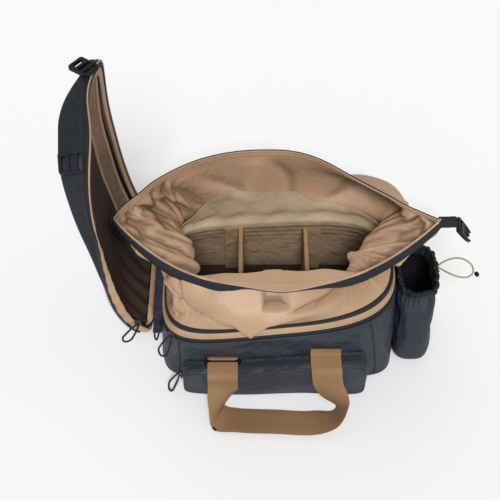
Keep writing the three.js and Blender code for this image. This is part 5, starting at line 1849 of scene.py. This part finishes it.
@dataclass
class FrontPocket:
    """A zipped pocket on the front wall; its top follows the rim and rises to the right."""

    middle: float = -5.0
    half_length: float = 132.0
    bottom: float = 2.0
    top: float = 66.0
    deep: float = 28.0
    square: float = 9.0
    rise: float = 22.0
    columns: int = 320

    def front_wall(self, x: Array, z: Array) -> Array:
        """The front of the body's wall below the rim: -front * (1 - |x/a|^p)^(1/p), skewed.

        Args:
            x, z: places along and up the wall.

        Returns:
            The wall's y there.
        """
        levels = np.array([LEVELS[name] for name in ("base_edge", "belly", "rim")], dtype=float)
        at = Level(*(np.interp(z, levels[:, 0], column) for column in levels.T))
        reach = np.where(x > 0, at.right, at.left)
        power = np.where(x > 0, at.end_right, at.end_left)
        flat = (1 - np.abs(x / reach) ** power) ** (1 / power)
        return -at.front * flat + at.skew * (x / reach) * flat

    def lift(self, x: Array) -> Array:
        """How much higher the top is at a place along the pocket."""
        return self.rise * (x - self.middle) / (2 * self.half_length)

    def ring(self, inset: float, share: float, bow: float, inward: float) -> Array:
        """One outline of the pocket, a share of the way from the wall to its face, with creases and a sag.

        Args:
            inset: how far the outline is drawn in on the face.
            share: 0 at the wall and 1 at the face.
            bow: how far the face bulges.
            inward: how far the inner side of the cloth lies within its outer side.

        Returns:
            The points.
        """
        half = (self.top - self.bottom) / 2
        wide = self.half_length - inset - inward
        tall = max(half - inset - inward, 1e-4)
        flat = outline(wide, wide, tall, tall, [self.square] * 6, self.columns)
        x = self.middle + flat[:, 0]
        z = self.bottom + half + flat[:, 1] + self.lift(x) * (flat[:, 1] / half + 1) / 2
        seat = np.minimum(self.front_wall(x, z), self.front_wall(x, np.full_like(x, 9.0))) - 1.3
        face = self.front_wall(np.array(self.middle), np.array(self.bottom)) - self.deep - bow
        face = face + inward * smoothstep(np.array(share), 0.85, 0.95)
        u, v = (x + 200.0)[None], (z + 60.0 * share)[None]
        creased = crumple(u, v, 34.0, 8, 1000.0, 150.0)[0]
        soft = 0.8 * np.sin(x / 31.0 - z / 9.0 + 1.0) + 2.2 * creased
        sag = 2.0 * np.exp(-(((x + 50.0) / 42.0) ** 2)) * smoothstep(z, 40.0, 62.0) * share
        return np.stack([x, mix(seat, face, share) + soft * share**3, z - sag + 0.7 * soft * share], -1)

    def build(self) -> None:
        """Makes the pocket, its piping and its zip."""
        rows = evenly(POCKET_ROWS, 46)
        face = np.stack([self.ring(*row, 0.0) for row in rows])
        back = np.stack([self.ring(*row, SHELL) for row in rows])
        show("pocket_cloth", cloth(face, back, True), NAVY, ["front_pocket"], 75.0)
        seam = self.ring(2.2, 0.955, 0.0, 0.0)
        away = seam - np.array([self.middle, -90.0, 34.0])
        show("pocket_piping", sweep(seam, unit(away), round_profile(1.5), True), NAVY_TRIM)
        self.zip()

    def zip(self) -> None:
        """The zip along the pocket's top."""
        x = np.linspace(-126.0, 116.0, 120)[None, :]
        share = np.array([0.3, 0.42, 0.55])[:, None]
        seat = self.front_wall(x, np.full_like(x, self.top)) - 0.6
        far = self.front_wall(np.array(self.middle), np.array(self.bottom)) - self.deep
        under = mesh_of(x, mix(seat, far, share), self.top + self.lift(x) + SEAM)
        show("pocket_zip_tape", cloth(under + UP * 1.2, under), COVERED_ZIP, ["pocket_zip"])


# Bottle pocket

# Levels of the bottle pocket: height, left, right, front, back, and how deep its gathers are.
BOTTLE_LEVELS = (
    (4, 172, 222, -72, 40, 0), (13, 169.4, 229, -83, 51, 0), (66, 169.6, 227, -80, 50, 0),
    (108, 170.3, 227, -70, 43, 0.5), (128, 172, 225, -54, 30, 1.8), (138, 171, 229, -57, 33, 2.4),
)


@dataclass
class BottlePocket:
    """The pocket on the right end, gathered by the cord in its hem."""

    wall: float = 2.0
    square: float = 3.2
    gathers: int = 17
    columns: int = 288
    slack: float = 0.007
    sewn_row: int = -14

    def ring(self, row: Array, inward: float) -> Array:
        """One level: an outline waved in and out, and up and down, by cosines of uneven turns round it.

        Args:
            row: a row as in the table of levels.
            inward: how far it is drawn in.

        Returns:
            The points.
        """
        z, left, right, front, back, gather = row
        half_x, half_y = (right - left) / 2, (back - front) / 2
        flat = outline(half_x - inward, half_x - inward, half_y - inward, half_y - inward,
                       [self.square] * 6, self.columns)
        even = 2 * math.pi * np.arange(self.columns) / self.columns
        turn = even + 0.11 * np.sin(3 * even + 0.5) + 0.06 * np.sin(7 * even)
        wave = (1.0 + 0.35 * np.sin(5 * even + 1.0)) * np.cos(self.gathers * turn)
        wave = wave + 0.45 * np.cos(41 * turn + 1.1)
        moved = flat + unit(flat) * (gather * (wave - 1.0) / 2)[:, None]
        x, y = moved[:, 0] + (left + right) / 2, moved[:, 1] + (front + back) / 2
        ruffle = gather * (0.5 * np.cos(25 * turn) + 0.5 * np.sin(4 * even))
        return np.stack([x, y, z + ruffle], -1)

    def build(self) -> None:
        """Makes the pocket, its rolled hem and the seam at its base."""
        rows = evenly(BOTTLE_LEVELS, 64)
        smooth = np.stack([self.ring(row, 0.0) for row in rows])
        tall = np.broadcast_to(rows[:, :1], smooth.shape[:2])
        loose = self.slack * smoothstep(tall, 14.0, 30.0) * (1.0 - smoothstep(tall, 112.0, 126.0))
        face = wrinkle(smooth, loose, 5)
        back = np.stack([self.ring(row, self.wall) for row in rows])
        middle = face[0].mean(0)
        spokes = np.linspace(0.0, 1.0, 8)[:-1, None, None]
        low = middle + (face[0] - middle)[None] * spokes
        inner_low = low + [0.0, 0.0, self.wall]
        back[:1, :, 2] += self.wall
        pocket = cloth(np.concatenate([low, face]), np.concatenate([inner_low, back]), True)
        show("bottle_cloth", pocket, BOTTLE_NAVY, ["bottle_pocket"], 75.0)
        # A near-black sheet just inside the upper pocket: painted shade in its mouth.
        lining, lined = (
            np.stack([self.ring(row, self.wall + gap) for row in rows[12::3]]) for gap in (1.4, 0.6)
        )
        show("bottle_mouth_shade", cloth(lining, lined, True), DARK_HEM_AND_SHADE)
        hem = (face[-1] + back[-1]) / 2
        show("bottle_hem", sweep(hem, repeat(UP, len(hem)), flat_profile(5.6, 7.0), True), DARK_HEM_AND_SHADE)
        sewn = face[self.sewn_row]
        groove = sewn + sideways(sewn - sewn.mean(0)) * 0.2
        show("bottle_stitches", stitches(groove, sideways(groove - groove.mean(0))), DARK_THREAD)


# Handle and hardware

# Routes of the handle and of the loop that holds its ring: a place, then the direction of the strap's width.
HANDLE_ROUTE = np.array([
    (-79, -123, 68, 1, 0, 0), (-79, -132, 67, 1, 0, 0), (-79, -143, 63, 1, 0, 0), (-79, -148, 40, 1, 0, 0),
    (-81.5, -161.5, 24, 0.8, 0.58, 0.16), (-84.7, -176.4, 6.5, 0.34, 0.94, 0.02),
    (-58, -181.5, 6, 0, 0.985, -0.17), (-4, -184, 6, 0, 0.985, -0.17), (50, -186, 6.4, 0, 0.985, -0.17),
    (82, -182, 13, -0.15, 0.85, -0.5), (91, -168, 20, -0.32, 0.58, -0.74), (81, -157, 31, -0.88, 0.28, -0.4),
    (71, -149, 52, -1, 0, 0), (68, -142, 75, -1, 0, 0), (67, -128, 79, -1, 0, 0), (67, -117, 82, -1, 0, 0),
    (67, -115.4, 91, -1, 0, 0),
], dtype=float)
LOOP_ROUTE = np.array([
    (-79, -114, 66, 1, 0, 0), (-79, -115, 69.5, 1, 0, 0), (-79, -119, 71.5, 1, 0, 0),
    (-79, -122.4, 70.5, 1, 0, 0),
], dtype=float)
# Each tab of the collar: its start, its reach, the way its end hangs and the direction of its width.
HEM_TABS = {
    "hem_tab_right": ((218.5, 2, 229.5), (24, 1, -1), (0.62, -0.12, -0.77), (0.1, 1, 0)),
    "hem_tab_left": ((-228.2, 0, 240), (-0.6, 0, -5), (0.36, 0, -0.93), (0, 1, 0)),
}
# Each lid tab's place across the lid and in depth, and how far it is turned and tilted, in degrees.
LID_TABS = {
    "lid_tab_front": (-90.0, 20.0, 8.0, -27.0),
    "lid_tab_back": (60.0, 12.0, -34.0, 4.0),
}
# Each pull's way down and way to its side, and the loop that all share as places to the side and down.
PULL_WAYS = {
    "lid": ((-0.55, -0.25, -0.8), (0.7, 0.2, -0.5)),
    "rim_low": ((-0.3, -0.1, -1), (0.3, -0.9, 0.1)),
    "rim_high": ((-0.5, -0.4, -1), (0.8, -0.5, -0.1)),
    "pocket": ((-0.5, -0.2, -1), (0.4, -1, -0.1)),
}
PULL_LOOP = (
    (0.22, 0), (0.55, 0.25), (0.95, 0.75), (1, 1), (0.55, 1.16), (0, 1.2),
    (-0.55, 1.14), (-1, 0.98), (-0.95, 0.72), (-0.55, 0.24), (-0.26, 0.02),
)


@dataclass
class Hardware:
    """The handle, the webbing tabs, the buckles, and the zip sliders with their cord pulls."""

    wall: Wall
    lid: Lid
    pocket: FrontPocket
    handle_width: float = 43.0
    handle_thickness: float = 2.0
    tab_width: float = 20.0
    lid_tab_lift: float = 0.8
    clip_place: Place = (-91.0, -196.0, 7.0)
    clip_along: Place = (0.5, -0.6, 0.3)
    pull_radius: float = 1.4
    pull_reach: float = 30.0
    pull_spread: float = 7.0
    slider: float = 3.5

    def build(self) -> None:
        """Makes or dresses every piece of hardware."""
        self.handle()
        self.hem_tabs()
        for name in ("handle_ring", "buckle_right", "buckle_left", "lid_buckle_front", "lid_buckle_back"):
            dress_node(name, PLASTIC, 0.8)
        self.lid_tabs()
        self.pulls()

    def handle(self) -> None:
        """The webbing handle, the loop that holds its ring, and the small clip at its fold."""
        straps = (("handle_webbing", HANDLE_ROUTE, ["handle"]), ("handle_loop", LOOP_ROUTE, []))
        for name, route, nodes in straps:
            steps = 16 * len(route)
            strap = ribbon(route[:, :3], route[:, 3:], self.handle_width, self.handle_thickness, steps)
            show(name, strap, WEBBING, nodes)
        place, along = np.array([self.clip_place]), np.array([self.clip_along])
        show("strap_clip", scatter(capsule(9.0, 2.0, 10), place, along, UP[None]), METAL)

    def hem_tabs(self) -> None:
        """A piece of webbing from each end of the collar, with its end bent down into the buckle."""
        for name, rows in HEM_TABS.items():
            begin, out, hang, across = np.array(rows, dtype=float)
            route = np.stack([begin, begin + 0.55 * out, begin + out, begin + out + unit(hang) * 4.0])
            tab = ribbon(route, repeat(across, len(route)), self.tab_width, CLOTH, 40)
            show(name + "_webbing", tab, HEM, [name])

    def lid_tabs(self) -> None:
        """A short piece of webbing under each buckle of the lid, flat on the wall of its tip.

        The tilt leans its normal over from the lid's rise. It runs out of the lid, turned about its normal.
        """
        lid = self.lid
        along_lid, into_lid = np.array([0.0, 0.0, 10.0]), np.array([0.0, 10.0, 0.0])
        tip, deeper, higher = lid.point(lid.length + along_lid, 0.0, into_lid)
        out, rise = unit(deeper - tip), unit(higher - tip)
        steps = np.array([-7.0, -2.5, 2.5, 7.0])[:, None]
        for name, (y, depth, turn, tilt) in LID_TABS.items():
            turned, lean = math.radians(turn), math.radians(tilt)
            normal = rise * math.cos(lean) + np.array([0.0, math.sin(lean), 0.0])
            along = out * math.cos(turned) + np.cross(normal, out) * math.sin(turned)
            along = unit(along + normal * np.dot(normal, out) * (1.0 - math.cos(turned)))
            narrowed = (1.0 - abs(y / lid.half_width) ** lid.square) ** (1.0 / lid.square)
            end = lid.length / 2 * (1.0 + narrowed)
            route = lid.point(end, y, depth) + along * steps + normal * self.lid_tab_lift
            sides = repeat(unit(np.cross(along, normal)), len(route))
            show(name + "_webbing", ribbon(route, sides, self.tab_width, CLOTH, 24), HEM, [name])

    def rim_seat(self, around: float) -> tuple[Array, Array]:
        """A point on the rim zip's outer side and the way it faces, at a place round the wall, 0 to 1."""
        points, normals = self.wall.line((HEIGHT["rim"] + HEIGHT["zip"]) / 2)
        column = round(around * self.wall.columns)
        return points[column] + normals[column] * CLOTH / 2, normals[column]

    def pulls(self) -> None:
        """A loop of cord through each slider: a flat curve, spread to its side and hung down."""
        at_lid = self.lid.point(48.0, -self.lid.edge(np.array(48.0), 0.4), -3.8)
        at_pocket = np.array([self.pocket.middle - self.pocket.half_length, -124.0, 38.0])
        seats = {
            "lid": (at_lid, np.array([0.0, -1.0, 0.0])),
            "rim_low": self.rim_seat(0.578),
            "rim_high": self.rim_seat(0.602),
            "pocket": (at_pocket, np.array([-1.0, 0.0, 0.0])),
        }
        loop = np.array(PULL_LOOP)
        for name, (point, outward) in seats.items():
            hang, side = np.array(PULL_WAYS[name], dtype=float)
            drop = unit(hang)
            spread = unit(side - drop * np.dot(side, drop))
            top = point + outward * (self.slider + 2 * SEAM + 1.2 * self.pull_radius)
            route = top + loop[:, :1] * spread * self.pull_spread + loop[:, 1:] * drop * self.pull_reach
            path = evenly(route, 90)
            tube = sweep(path, repeat(np.cross(spread, drop), len(path)), round_profile(self.pull_radius))
            show("pull_" + name, tube, PULL_CORD, ["zip_pull_" + name])
            dress_node("zip_slider_" + name, METAL, 0.5)


def main() -> None:
    """Builds the scene piece by piece."""
    logging.basicConfig(level=logging.INFO, format="%(message)s")
    Studio().build()
    BottleCord().build()
    wall = Wall()
    lid = Lid()
    pocket = FrontPocket()
    body, collar = Body(wall), Collar(wall, Wall(640))
    for part in (body, collar, lid, pocket, BottlePocket(), Hardware(wall, lid, pocket)):
        part.build()


if __name__ == "__main__":
    main()
